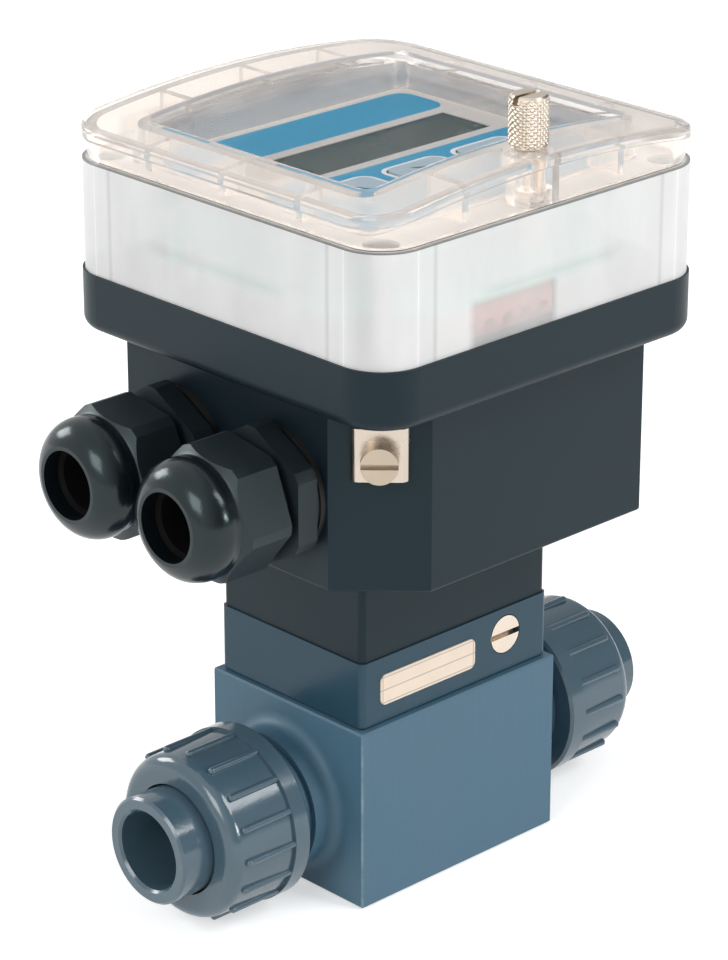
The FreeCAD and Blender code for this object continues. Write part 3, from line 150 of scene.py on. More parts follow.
class FlowMeterZones(bpy.types.PropertyGroup):
    """Places where a finish changes on a piece."""

    block_half: length("Block", "From the middle of the pipe block to its worn ends", 0.0271)
    worn: length("Worn edge", "Width of the block's worn edges", 0.0005)
    # painted shade: height of the band of shade painted along the collar's foot
    joint: length("Joint", "Height of the dark joint under the collar", 0.0005)
    dome: length("Dome", "Length of the glossy dome of a gland", 0.0082)
    plate_border: length("Plate border", "From the plate's edge to its border line", 0.0005)
    plate_line: length("Plate line", "Half width of the plate's lines", 0.0002)
    window_x: length("Window length", "From the middle of the lid to the ends of its window", 0.0345)
    window_y: length("Window width", "From the middle of the lid to the sides of its window", 0.0310)
    # painted shade: where the grey shade on the window's walls fades in
    window_wall_shade: length("Window wall", "Thickness of the wall round the window", 0.0015)
    wall_far: length("Wall far", "From the middle of the lid to walls that are fully grey", 0.018)
    wall_near: length("Wall near", "From the middle of the lid to walls that are fully clear", 0.010)
    cover_half: length("Cover", "From the middle of the cover to its sides", 0.0440)
    cover_corner: length("Cover corner", "Corner radius of the cover", 0.0095)
    seam_z: length("Seam", "Height of the seam between cover and lid", 0.1449)
    seam_low: length("Seam low", "From the seam down to the lower edge of its dark line", 0.00024)
    seam_high: length("Seam high", "From the seam down to where its line is fully dark", 0.00016)
    skin_near: length("Skin near", "How far out from the cover's side its line is fully dark", 0.0001)
    skin_far: length("Skin far", "How far out from the cover's side its line ends", 0.0003)
    shift_x: length("Shift", "How far the clearer patch lies beside the terminal block", 0.0058)
    shift_z: length("Lift", "How far the clearer patch reaches above the terminal block", 0.0038)
    inset: length("Inset", "How much shorter the clearer patch is than the terminal block", 0.0020)
    board_near: length("Board near", "From a side's middle to where the board line starts to fade", 0.014)
    board_far: length("Board far", "From a side's middle to the end of the board line", 0.020)


class FlowMeterClearness(bpy.types.PropertyGroup):
    """How see-through and how even the lid and the cover are."""

    frame_clear: factor("Frame", "Clearness of the lid outside its window", 0.84)
    wall_clear: factor("Walls", "Clearness of the walls inside the window", 0.60)
    pane_opacity: factor("Pane", "Opacity of the window", 0.05)
    lid_shadow: factor("Lid shadow", "Opacity of the lid in its shadow", 0.12)
    frame_rough: factor("Frame roughness", "Roughness of the lid outside its window", 0.08)
    pane_rough: factor("Pane roughness", "Roughness of the window", 0.015)
    smear: factor("Smears", "Roughness that smears add", 0.02)
    milk_most: factor("Most milk", "Opacity of the cover where it is most milky", 0.88)
    milk_least: factor("Least milk", "Opacity of the cover where it is least milky", 0.80)
    deck: factor("Deck", "Share of the milk on the cover's upper side", 0.65)
    inner: factor("Inner side", "Opacity of the cover's inner side", 0.12)
    cover_shadow: factor("Cover shadow", "Opacity of the cover in its shadow", 0.16)
    patch: factor("Patch", "Milk left off in front of the terminal block", 0.30)
    board: factor("Board line", "Milk left off in front of the board's edge", 0.12)
    # painted shade: strength of the grey lines painted beside the posts
    painted_post_shade: factor("Post lines", "Strength of the grey lines by the posts", 0.45)
    seam: factor("Seam line", "Strength of the dark line at the seam", 0.8)


class FlowMeterKnurl(bpy.types.PropertyGroup):
    """Diamond knurl of the thumb screw."""

    ridges: IntProperty(name="Ridges", description="Ridges round the head, each way", default=17, min=6, max=80)
    turn: angle("Turn", "How far a ridge turns round the head", 173)
    depth: length("Depth", "Height of the ridges", 0.00032)
    sink: factor("Sink", "Share of the height that lies inside the plain head", 0.12)
    # painted shade: how far up the ridges the painted groove shade reaches
    painted_groove_shade: factor("Groove", "Share of the height that looks dark", 0.35)
    taper: FloatProperty(name="Taper", description="How fast the ridges rise from the ends", default=14)
    around: IntProperty(name="Around", description="Mesh steps round the head", default=312, min=48, max=720)
    rows: IntProperty(name="Rows", description="Mesh steps along the head", default=96, min=8, max=240)
    margin: length("Margin", "Plain edge at each end of the head", 0.00045)
    lift: length("Lift", "From the lid to the lower end of the head", 0.0001)
    slot_width: length("Slot width", "Width of the screwdriver slot", 0.0011)
    slot_depth: length("Slot depth", "Depth of the screwdriver slot", 0.0016)


class FlowMeterPrint(bpy.types.PropertyGroup):
    """Printed areas of the display foil."""

    ink: length("Ink", "Thickness of the printed areas", 0.00003)
    margin: length("Margin", "From the foil's edge to the print", 0.0022)
    corner: length("Corner", "Corner radius of the printed bands", 0.0035)
    gap: length("Gap", "Bare strip between the display glass and the bands", 0.0016)
    outline: length("Outline", "Width of the pale line round each key", 0.0009)
    overlap: length("Overlap", "How far the pale line reaches in over the key's edge", 0.0004)
    key_corner: length("Key corner", "Corner radius of the line inside", 0.0022)
    symbol: length("Symbol", "Half the size of a key's symbol", 0.0022)
    notch: factor("Notch", "Place of the notch in the back of a symbol", 0.35)


class FlowMeterStage(bpy.types.PropertyGroup):
    """Camera, floor and light."""

    camera_place: FloatVectorProperty(
        name="Camera", description="Place of the camera", subtype="TRANSLATION", unit="LENGTH", size=3,
        default=(-0.46915, -0.48304, 0.35464)
    )
    azimuth: angle("Azimuth", "Turn of the camera round the object", -43.81)
    elevation: angle("Elevation", "Height of the camera above level", 22.35)
    lens: FloatProperty(name="Lens", description="Focal length", default=137.5, unit="CAMERA")
    key_power: power("Key lamp", "Power of the main lamp", 13.5)
    fill_power: power("Fill lamp", "Power of the side lamp", 9.5)
    front_power: power("Front lamp", "Power of the low lamp", 4.6)
    rim_power: power("Rim lamp", "Power of the lamp behind", 9.0)
    world_level: factor("World", "Brightness of the surroundings", 0.42)
    front_level: factor("Front", "Brightness of reflections from the front", 0.22)
    floor_glow: factor("Floor glow", "Own light of the floor as the camera sees it", 0.5)


class FlowMeterSettings(bpy.types.PropertyGroup):
    """All settings of the flow meter."""

    colours: PointerProperty(type=FlowMeterColours)
    zones: PointerProperty(type=FlowMeterZones)
    clearness: PointerProperty(type=FlowMeterClearness)
    knurl: PointerProperty(type=FlowMeterKnurl)
    printing: PointerProperty(type=FlowMeterPrint)
    stage: PointerProperty(type=FlowMeterStage)


# Materials
class Finish:
    """One material: a principled surface with the nodes that feed it, on object coordinates."""

    def __init__(self, name, **values):
        self.material = bpy.data.materials.new(name)
        self.material.use_nodes = True
        self.tree = self.material.node_tree
        self.tree.nodes.clear()
        self.surface = self.node("ShaderNodeBsdfPrincipled", **values)
        output = self.node("ShaderNodeOutputMaterial")
        self.tree.links.new(self.surface.outputs["BSDF"], output.inputs["Surface"])
        where = self.node("ShaderNodeTexCoord").outputs
        self.place, self.facing = where["Object"], where["Normal"]

    def node(self, kind, **values):
        """Adds a node. Capital names are its inputs, small ones its settings."""
        made = self.tree.nodes.new(kind)
        for key, value in values.items():
            if key[0].islower():
                setattr(made, key, value)
            else:
                self.feed(made.inputs[key.replace("_", " ")], value)
        return made

    def feed(self, socket, value):
        """Links or sets one input."""
        if isinstance(value, bpy.types.NodeSocket):
            self.tree.links.new(value, socket)
        elif socket.type == "RGBA" and len(value) == 3:
            socket.default_value = (*value, 1)
        else:
            socket.default_value = value

    def set(self, **values):
        """Feeds inputs of the surface."""
        for key, value in values.items():
            self.feed(self.surface.inputs[key.replace("_", " ")], value)

    def stain(self, share, shade):
        """Mixes a colour over the one that the surface has."""
        under = self.surface.inputs["Base Color"].links[0].from_socket
        self.set(Base_Color=self.mix(share, under, shade))

    def math(self, operation, *values):
        made = self.node("ShaderNodeMath", operation=operation)
        for socket, value in zip(made.inputs, values):
            self.feed(socket, value)
        return made.outputs[0]

    def times(self, first, second):
        return self.math("MULTIPLY", first, second)

    def plus(self, first, second):
        return self.math("ADD", first, second)

    def most(self, first, *others):
        """Largest of the values."""
        for other in others:
            first = self.math("MAXIMUM", first, other)
        return first

    def distance(self, first, second):
        """Length of a line with these two legs."""
        squares = [self.times(leg, leg) for leg in (first, second)]
        return self.math("SQRT", self.plus(*squares))

    def axis(self, name):
        """Place along one axis of the object."""
        return self.node("ShaderNodeSeparateXYZ", Vector=self.place).outputs[name]

    def scaled(self, x, y, z):
        return self.node("ShaderNodeMapping", Vector=self.place, Scale=(x, y, z)).outputs[0]

    def noise(self, scale, detail, place=None):
        made = self.node("ShaderNodeTexNoise", Vector=place or self.place, Scale=scale, Detail=detail)
        return made.outputs["Fac"]

    def span(self, value, low, high, to_low=0.0, to_high=1.0):
        """Value taken from one range to another, and held at its ends."""
        made = self.node(
            "ShaderNodeMapRange", Value=value, From_Min=low, From_Max=high, To_Min=to_low, To_Max=to_high
        )
        return made.outputs[0]

    def spread(self, noise, to_low, to_high):
        """Noise taken to a range, with most of it between the two ends."""
        return self.span(noise, *NOISE_MIDDLE, to_low, to_high)

    def between(self, share, outside, inside):
        """Value that goes from one to the other as the share goes from zero to one."""
        return self.span(share, 0, 1, outside, inside)

    def below(self, value, start, end):
        """One up to the start, falling to zero at the end."""
        return self.span(value, start, end, 1, 0)

    def near(self, value, place, width):
        """One on a line at a place, falling to zero at the width."""
        return self.below(self.math("ABSOLUTE", self.math("SUBTRACT", value, place)), 0, width)

    def mix(self, share, first, second):
        made = self.node("ShaderNodeMix", data_type="RGBA")
        for index, value in ((0, share), (6, first), (7, second)):
            self.feed(made.inputs[index], value)
        return made.outputs[2]

    def tinted(self, base, share, light, dark):
        """Colour that goes between a darker and a lighter shade of the base."""
        return self.mix(share, [c * dark for c in base], [c * light for c in base])

    def cover(self, seen, lit):
        """Opacity of a see-through piece: one value for what is seen, one for the shadow it casts."""
        shadow = self.node("ShaderNodeLightPath").outputs["Is Shadow Ray"]
        return self.between(shadow, seen, lit)

    def bump(self, height, distance, strength):
        return self.node("ShaderNodeBump", Height=height, Distance=distance, Strength=strength).outputs[0]


def moulded_plastic(name, base, rough, grain, gloss=0.5, shine=WHITE, uneven=0.04):
    """Moulded plastic: broad shade changes, uneven gloss and fine grain."""
    finish = Finish(name, Specular_IOR_Level=gloss, Specular_Tint=shine)
    cloud = finish.noise(scale=45, detail=4)
    finish.set(
        Base_Color=finish.tinted(base, cloud, light=1.12, dark=0.88),
        Roughness=finish.spread(cloud, rough - uneven, rough + uneven),
        Normal=finish.bump(finish.noise(scale=grain, detail=2), distance=0.04 * MM, strength=0.35),
    )
    return finish


def collar_plastic(colours, foot_z, joint):
    """Moulded plastic with painted shade along its foot, darkening the joint where it sits on the block."""
    finish = moulded_plastic("collar_plastic", colours.collar, rough=0.24, grain=1500, gloss=0.28)
    # painted shade: darkens the collar just above its foot, where it meets the block
    painted_foot_shade = finish.span(finish.axis("Z"), foot_z, foot_z + joint, to_low=0.9, to_high=0)
    finish.stain(painted_foot_shade, colours.joint)
    return finish


def gland_plastic(base, dome_x, dome_rough=0.19, hexagon_rough=0.46, uneven=0.2):
    """Black moulded plastic: glossy on the domes, satin on the hexagons behind them."""
    finish = Finish("gland_plastic", Specular_IOR_Level=0.46, Specular_Tint=COOL_SHINE)
    satin = finish.span(finish.axis("X"), dome_x - MM / 2, dome_x + MM / 2)
    patches = finish.times(finish.noise(scale=60, detail=4), uneven)
    finish.set(
        Base_Color=finish.tinted(base, finish.plus(satin, patches), light=2.0, dark=0.9),
        Roughness=finish.between(satin, dome_rough, hexagon_rough),
        Normal=finish.bump(finish.noise(scale=1800, detail=2), distance=0.04 * MM, strength=0.35),
    )
    return finish


def block_plastic(colours, worn_width, low, high, along=0.6, across=0.4):
    """Sawn and milled block: fine cutter lines, shade changes and pale worn upright edges."""
    finish = Finish("milled_grey_plastic")
    cloud = finish.noise(scale=38, detail=5)
    lines = finish.noise(scale=1, detail=3, place=finish.scaled(2600, 2600, 90))
    cross = finish.noise(scale=1, detail=2, place=finish.scaled(150, 150, 1900))
    cut = finish.plus(finish.times(lines, along), finish.times(cross, across))
    sides = [
        finish.most(*[finish.near(finish.axis(name), end[i], worn_width) for end in (low, high)])
        for i, name in enumerate("XY")
    ]
    chips = finish.spread(finish.noise(scale=300, detail=5), 0.15, 0.75)
    worn = finish.times(finish.span(finish.times(*sides), 0.10, 0.50), chips)
    finish.set(
        Base_Color=finish.tinted(colours.block, finish.spread(cut, 0, 1), light=1.05, dark=0.95),
        Roughness=finish.spread(cloud, 0.44, 0.56),
        Normal=finish.bump(cut, distance=0.05 * MM, strength=0.30),
    )
    finish.stain(finish.span(cloud, 0.35, 0.75, to_low=0, to_high=0.25), colours.pale)
    finish.stain(worn, colours.worn)
    return finish


def metal(name, base, rough, lines, brighter=0.06, duller=0.10):
    """Plated or bright metal with turning lines, dull patches and slight stains."""
    finish = Finish(name, Metallic=1.0)
    fine = finish.noise(scale=1, detail=3, place=finish.scaled(*lines))
    cloud = finish.noise(scale=210, detail=4)
    finish.set(
        Base_Color=finish.tinted(base, cloud, light=1.06, dark=0.84),
        Roughness=finish.spread(cloud, rough - brighter, rough + duller),
        Normal=finish.bump(fine, distance=0.03 * MM, strength=0.30),
    )
    return finish


def knurled_metal(colours, knurl, centre, radius):
    """Bright metal with painted shade darkening the grooves between the ridges."""
    finish = metal("knurled_nickel", colours.nickel, rough=0.18, lines=EVEN_GRAIN)
    legs = [finish.math("SUBTRACT", finish.axis(name), middle) for name, middle in zip("XY", centre)]
    bottom = radius - knurl.depth * knurl.sink
    top = radius + knurl.depth * knurl.painted_groove_shade
    # painted shade: darkens the metal deep in the grooves, fading out up the ridges
    painted_groove_shade = finish.span(finish.distance(*legs), bottom, top, to_low=0.75, to_high=0)
    finish.stain(painted_groove_shade, colours.painted_groove_shade)
    return finish


def rubber(name, base, gloss=0.35):
    """Dull rubber with a fine grain."""
    finish = Finish(name, Specular_IOR_Level=gloss)
    cloud = finish.noise(scale=160, detail=4)
    finish.set(
        Base_Color=finish.tinted(base, cloud, light=1.3, dark=0.75),
        Roughness=finish.spread(cloud, 0.62, 0.80),
        Normal=finish.bump(finish.noise(scale=2600, detail=2), distance=0.05 * MM, strength=0.4),
    )
    return finish


def clear_plastic(colours, zones, clearness):
    """Polished clear plastic, a little milky outside the window, with painted shade greying the walls inside
    it.
    """
    finish = Finish("clear_plastic", IOR=1.46)
    axes = finish.axis("X"), finish.axis("Y")
    away = [finish.math("ABSOLUTE", axis) for axis in axes]
    halves = zones.window_x, zones.window_y

    def within(reach):
        """One inside the window and this far round it."""
        return finish.times(*[
            finish.below(axis, half + reach - MM / 2, half + reach) for axis, half in zip(away, halves)
        ])

    pane = within(0)
    facing = finish.node("ShaderNodeSeparateXYZ", Vector=finish.facing).outputs
    outward = finish.plus(*[finish.times(axis, side) for axis, side in zip(axes, facing)])
    # painted shade: the window's walls that face its middle are greyed and made less clear
    wall = finish.times(within(zones.window_wall_shade), finish.below(outward, -zones.wall_far, -zones.wall_near))
    cloud = finish.noise(scale=70, detail=4)
    smears = finish.span(cloud, 0.4, 0.8, to_low=0.0, to_high=clearness.smear)
    clear_frame = finish.between(pane, clearness.frame_clear, 1)
    finish.set(
        Base_Color=finish.tinted(colours.clear, cloud, light=1.0, dark=0.985),
        Transmission_Weight=finish.times(clear_frame, finish.between(wall, 1, clearness.wall_clear)),
        Alpha=finish.cover(finish.between(pane, 1, clearness.pane_opacity), clearness.lid_shadow),
        Roughness=finish.plus(finish.between(pane, clearness.frame_rough, clearness.pane_rough), smears),
        Normal=finish.bump(finish.noise(scale=260, detail=2), distance=0.04 * MM, strength=0.12),
    )
    # paints the grey shade onto those walls
    finish.stain(wall, colours.window_wall_shade)
    return finish


def frosted_plastic(colours, zones, clearness, shown_low, shown_high):
    """Milky clear plastic: cloudy outside, bright by the corner posts with lines of painted shade beside them,
    clearer where a piece is close.
    """
    finish = Finish("frosted_plastic", IOR=1.45)
    half, corner, seam_z = zones.cover_half, zones.cover_corner, zones.seam_z
    x, y, z = [finish.axis(name) for name in "XYZ"]
    away = [finish.math("ABSOLUTE", axis) for axis in (x, y)]

    def posts(share, width):
        """One on upright lines beside the corners."""
        return finish.most(*[finish.near(axis, half - corner * share, width) for axis in away])

    past = [finish.most(finish.math("SUBTRACT", axis, half - corner), 0) for axis in away]
    reach = finish.distance(*past)
    side = finish.span(reach, corner - MM, corner - MM / 2)
    outer = finish.most(side, finish.span(z, seam_z - MM, seam_z, to_low=0, to_high=clearness.deck))
    skin = finish.times(side, finish.below(reach, corner + zones.skin_near, corner + zones.skin_far))
    seam = finish.times(skin, finish.span(z, seam_z - zones.seam_low, seam_z - zones.seam_high))

    bright = posts(share=1, width=corner / 7)
    # painted shade: grey lines beside the corner posts
    grey = posts(share=1.45, width=corner / 12)

    patch = finish.times(*[
        finish.times(finish.span(axis, low - MM, low + MM), finish.below(axis, high - MM, high + MM))
        for axis, low, high in zip((x, z), shown_low, shown_high)
    ])
    patch = finish.times(patch, finish.below(y, MM - half, 2 * MM - half))
    middle = finish.below(finish.math("MINIMUM", *away), zones.board_near, zones.board_far)
    board = finish.times(finish.near(z, shown_high[1] + MM, 2 * MM), middle)
    clearer = finish.most(finish.times(patch, clearness.patch), finish.times(board, clearness.board))

    cloud = finish.noise(scale=1, detail=4, place=finish.scaled(110, 110, 26))
    clouded = finish.spread(cloud, clearness.milk_most, clearness.milk_least)
    milk = finish.most(bright, finish.math("SUBTRACT", clouded, clearer))
    finish.set(
        Base_Color=finish.tinted(colours.frosted, cloud, light=1.03, dark=0.97),
        Transmission_Weight=finish.spread(cloud, 0.06, 0.12),
        Alpha=finish.cover(finish.between(outer, clearness.inner, milk), clearness.cover_shadow),
        Roughness=finish.spread(cloud, 0.28, 0.36),
        Normal=finish.bump(finish.noise(scale=1800, detail=2), distance=0.04 * MM, strength=0.25),
    )
    # paints the grey shade lines beside the posts
    finish.stain(finish.times(grey, clearness.painted_post_shade), colours.painted_post_shade)
    finish.stain(bright, WHITE)
    finish.stain(finish.times(seam, clearness.seam), colours.seam)
    return finish


def film(name, base, rough, uneven=0.05):
    """Printed film or ink: fine print grain and an even soft gloss."""
    finish = Finish(name, Specular_IOR_Level=0.06)
    grain = finish.noise(scale=3000, detail=2)
    cloud = finish.noise(scale=90, detail=3)
    finish.set(
        Base_Color=finish.tinted(base, finish.times(cloud, grain), light=1.12, dark=0.94),
        Roughness=finish.spread(cloud, rough - uneven, rough + uneven),
        Normal=finish.bump(grain, distance=0.02 * MM, strength=0.3),
    )
    return finish


def plate_film(colours, zones, low, high):
    """Cream plate with a thin dark border and one faint ruled line, no words."""
    finish = Finish("rating_plate_film")
    x, z = finish.axis("X"), finish.axis("Z")
    border = zones.plate_border
    lines = (
        (x, low.x + border), (x, high.x - border), (z, low.z + border), (z, high.z - border),
        (z, (low.z + high.z) / 2),
    )
    drawn = finish.most(*[finish.near(axis, place, zones.plate_line) for axis, place in lines])
    cloud = finish.noise(scale=300, detail=4)
    finish.set(
        Base_Color=finish.tinted(colours.plate, cloud, light=1.06, dark=0.92),
        Roughness=finish.spread(cloud, 0.30, 0.42),
    )
    finish.stain(finish.times(drawn, 0.55), colours.plate_line)
    return finish


def display_glass(colours):
    """Grey-green display glass with a faint grid."""
    finish = Finish("display_glass", Specular_IOR_Level=0.06)
    waves = [finish.math("SINE", finish.times(finish.axis(name), 9000)) for name in "XY"]
    cloud = finish.noise(scale=40, detail=3)
    finish.set(
        Base_Color=finish.tinted(colours.lcd, cloud, light=1.15, dark=0.85),
        Roughness=finish.spread(cloud, 0.22, 0.30),
    )
    finish.stain(finish.span(finish.most(*waves), 0.9, 1.0, to_low=0, to_high=0.12), colours.grid)
    return finish


def circuit_board(base):
    """Green board with straight copper runs under the lacquer."""
    finish = Finish("circuit_board", Coat_Weight=0.3, Coat_Roughness=0.2)
    cells = finish.node("ShaderNodeTexBrick", offset=0.37, Vector=finish.scaled(1, 1, 0), Scale=260.0)
    run = finish.span(cells.outputs["Fac"], 0.2, 0.8)
    finish.set(
        Base_Color=finish.tinted(base, run, light=1.7, dark=1),
        Roughness=finish.spread(finish.noise(scale=500, detail=2), 0.34, 0.48),
        Normal=finish.bump(run, distance=0.03 * MM, strength=0.3),
    )
    return finish


def dress(finish, *names):
    """Gives CAD nodes their finish."""
    for name in names:
        if name not in NODES:
            raise RuntimeError("no CAD node named " + name)
        slots = NODES[name].data.materials
        slots.clear()
        slots.append(finish.material)


# Mesh pieces
def piece(name, mesh, body, finish):
    """Puts a finished mesh in the scene, riding on a body."""
    made = bpy.data.objects.new(name, mesh)
    bpy.context.scene.collection.objects.link(made)
    mesh.materials.clear()
    mesh.materials.append(finish.material)
    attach(made, body)


def rounded_loop(x0, x1, y0, y1, radius, steps=8):
    """Points round a rectangle with round corners."""
    points = []
    for cx, cy, start in (
        (x1 - radius, y1 - radius, 0), (x0 + radius, y1 - radius, 1),
        (x0 + radius, y0 + radius, 2), (x1 - radius, y0 + radius, 3),
    ):
        for i in range(steps + 1):
            turn = math.pi / 2 * (start + i / steps)
            points.append((cx + radius * math.cos(turn), cy + radius * math.sin(turn)))
    return points


def grown(loop_box, by):
    """Rectangle made larger all round."""
    x0, x1, y0, y1 = loop_box
    return x0 - by, x1 + by, y0 - by, y1 + by


def ink_mesh(name, loops, z, thickness):
    """Thin closed slab from an outer loop and any holes in it."""
    grid = bmesh.new()
    edges = []
    for loop in loops:
        corners = [grid.verts.new((x, y, z)) for x, y in loop]
        edges += [grid.edges.new((a, b)) for a, b in zip(corners, corners[1:] + corners[:1])]
    filled = bmesh.ops.triangle_fill(grid, use_beauty=True, edges=edges)
    faces = [g for g in filled["geom"] if isinstance(g, bmesh.types.BMFace)]
    if not faces:
        raise RuntimeError("outline of %s has no area" % name)
    raised = bmesh.ops.extrude_face_region(grid, geom=faces)
    tops = [g for g in raised["geom"] if isinstance(g, bmesh.types.BMVert)]
    bmesh.ops.translate(grid, verts=tops, vec=(0, 0, thickness))
    bmesh.ops.recalc_face_normals(grid, faces=grid.faces)
    mesh = bpy.data.meshes.new(name)
    grid.to_mesh(mesh)
    grid.free()
    return mesh


# Geometry Nodes
class Rule:
    """One Geometry Nodes tree with named inputs that ends in realized geometry with a material."""

    def __init__(self, name):
        self.tree = bpy.data.node_groups.new(name, "GeometryNodeTree")
        self.tree.interface.new_socket("Geometry", in_out="OUTPUT", socket_type="NodeSocketGeometry")
        self.source = self.tree.nodes.new("NodeGroupInput")
        self.values = {}

    def input(self, name, kind, value):
        made = self.tree.interface.new_socket(name, in_out="INPUT", socket_type="NodeSocket" + kind)
        self.values[made.identifier] = value
        return self.source.outputs[name]

    def node(self, kind, settings=None, **values):
        made = self.tree.nodes.new(kind)
        for key, value in (settings or {}).items():
            setattr(made, key, value)
        for key, value in values.items():
            self.feed(made.inputs[key.replace("_", " ")], value)
        return made

    def feed(self, socket, value):
        if isinstance(value, bpy.types.NodeSocket):
            self.tree.links.new(value, socket)
        else:
            socket.default_value = value

    def math(self, operation, *values):
        made = self.node("ShaderNodeMath", {"operation": operation})
        for socket, value in zip(made.inputs, values):
            self.feed(socket, value)
        return made.outputs[0]

    def mesh(self, name, geometry, material):
        """Ends the tree, evaluates it and gives back a plain mesh."""
        real = self.node("GeometryNodeRealizeInstances", Geometry=geometry)
        painted = self.node("GeometryNodeSetMaterial", Geometry=real.outputs[0])
        self.feed(painted.inputs["Material"], self.input("Material", "Material", material))
        output = self.tree.nodes.new("NodeGroupOutput")
        self.tree.links.new(painted.outputs[0], output.inputs[0])
        holder = bpy.data.objects.new(name + "_rule", bpy.data.meshes.new(name + "_rule"))
        bpy.context.scene.collection.objects.link(holder)
        modifier = holder.modifiers.new(name, "NODES")
        modifier.node_group = self.tree
        for identifier, value in self.values.items():
            modifier[identifier] = value
        bpy.context.view_layer.update()
        graph = bpy.context.evaluated_depsgraph_get()
        mesh = bpy.data.meshes.new_from_object(holder.evaluated_get(graph))
        bpy.data.objects.remove(holder)
        if not mesh.polygons:
            raise RuntimeError(name + " came out empty")
        mesh.name = name
        return mesh


def knurl_mesh(knurl, low, high, centre, material):
    """Diamond knurl round the thumb screw's head."""
    rule = Rule("diamond_knurl")
    plain = rule.input("Plain Radius", "Float", (high.x - low.x) / 2)
    depth = rule.input("Depth", "Float", knurl.depth)
    ridges = rule.input("Ridges", "Int", knurl.ridges)
    turn = rule.input("Turn", "Float", knurl.turn)
    tall = rule.input("Height", "Float", high.z - low.z - 2 * knurl.margin)
    slot_width = rule.input("Slot Width", "Float", knurl.slot_width)
    slot_depth = rule.input("Slot Depth", "Float", knurl.slot_depth - knurl.margin)
    around = rule.input("Around", "Int", knurl.around)
    rows = rule.input("Rows", "Int", knurl.rows)
    middle = rule.input("Middle", "Vector", (centre.x, centre.y, (low.z + high.z) / 2))
    wall = rule.node(
        "GeometryNodeMeshCylinder", {"fill_type": "NONE"},
        Vertices=around, Side_Segments=rows, Radius=plain, Depth=tall
    )
    place = rule.node("ShaderNodeSeparateXYZ", Vector=rule.node("GeometryNodeInputPosition").outputs[0])
    x, y, z = place.outputs
    share = rule.math("DIVIDE", z, tall)
    lean = rule.math("MULTIPLY", share, rule.math("MULTIPLY", turn, ridges))
    base = rule.math("MULTIPLY", rule.math("ARCTAN2", y, x), ridges)
    heights = []
    for operation in ("ADD", "SUBTRACT"):
        wave = rule.math("DIVIDE", rule.math(operation, base, lean), 2)
        heights.append(rule.math("ABSOLUTE", rule.math("SINE", wave)))
    tooth = rule.math("MULTIPLY", *heights)
    end = rule.math("MULTIPLY", rule.math("SUBTRACT", 0.5, rule.math("ABSOLUTE", share)), knurl.taper)
    tooth = rule.math("SUBTRACT", rule.math("MULTIPLY", tooth, rule.math("MINIMUM", end, 1)), knurl.sink)
    grow = rule.math("ADD", 1, rule.math("DIVIDE", rule.math("MULTIPLY", tooth, depth), plain))
    moved = rule.node(
        "ShaderNodeCombineXYZ", X=rule.math("MULTIPLY", x, grow), Y=rule.math("MULTIPLY", y, grow), Z=z
    )
    shaped = rule.node("GeometryNodeSetPosition", Geometry=wall.outputs[0], Position=moved.outputs[0])
    in_slot = rule.math(
        "MULTIPLY",
        rule.math("LESS_THAN", rule.math("ABSOLUTE", y), rule.math("DIVIDE", slot_width, 2)),
        rule.math("GREATER_THAN", z, rule.math("SUBTRACT", rule.math("DIVIDE", tall, 2), slot_depth)),
    )
    cut = rule.node(
        "GeometryNodeDeleteGeometry", {"domain": "POINT"}, Geometry=shaped.outputs[0], Selection=in_slot
    )
    placed = rule.node("GeometryNodeTransform", Geometry=cut.outputs[0], Translation=middle)
    return rule.mesh("thumb_screw_knurl", placed.outputs[0], material)


# Operators
class Builder(bpy.types.Operator):
    """Step of the flow meter."""

    bl_options = {"REGISTER", "UNDO"}

    def execute(self, context):
        settings = context.scene.flow_meter
        self.build(settings, settings.colours)
        return {"FINISHED"}


class FLOWMETER_OT_pipe(Builder):
    """Finishes the pipe block, collar, union nuts and union ends"""

    bl_idname = "flowmeter.pipe"
    bl_label = "Pipe fitting"

    def build(self, settings, colours):
        zones = settings.zones
        low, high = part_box("fitting_block")
        low.x, high.x = -zones.block_half, zones.block_half
        dress(block_plastic(colours, zones.worn, low, high), "fitting_block")
        grey = moulded_plastic("moulded_grey_plastic", colours.moulded, rough=0.15, grain=1500, gloss=0.75)
        dress(grey, *[e + p for e in ENDS for p in ("_union_nut", "_union_end")])
        dress(collar_plastic(colours, high.z, zones.joint), "sensor_holder")
        dress(rubber("seal_rubber", colours.rubber), "holder_seal", *[e + "_union_seal" for e in ENDS])


class FLOWMETER_OT_wheel(Builder):
    """Finishes the paddle wheel, its magnets and bearings"""

    bl_idname = "flowmeter.wheel"
    bl_label = "Paddle wheel"

    def build(self, settings, colours):
        dress(moulded_plastic("wheel_plastic", colours.wheel, rough=0.34, grain=1500), "paddle_wheel")
        cream = moulded_plastic("bearing_plastic", colours.bearing, rough=0.28, grain=1500)
        dress(cream, "front_bearing", "rear_bearing")
        magnets = [name for name in NODES if name.startswith("magnet_")]
        dress(metal("magnet_metal", colours.magnet, rough=0.38, lines=(900, 200, 900)), *magnets)


class FLOWMETER_OT_head(Builder):
    """Finishes the black head, the probe and the two gaskets"""

    bl_idname = "flowmeter.head"
    bl_label = "Black head"

    def build(self, settings, colours):
        black = moulded_plastic(
            "housing_plastic", colours.housing, rough=0.40, grain=2400, gloss=0.27, shine=BLUE_SHINE
        )
        dress(black, "head_housing", "hall_probe")
        dress(rubber("gasket_rubber", colours.rubber), "cover_gasket", "lid_gasket")


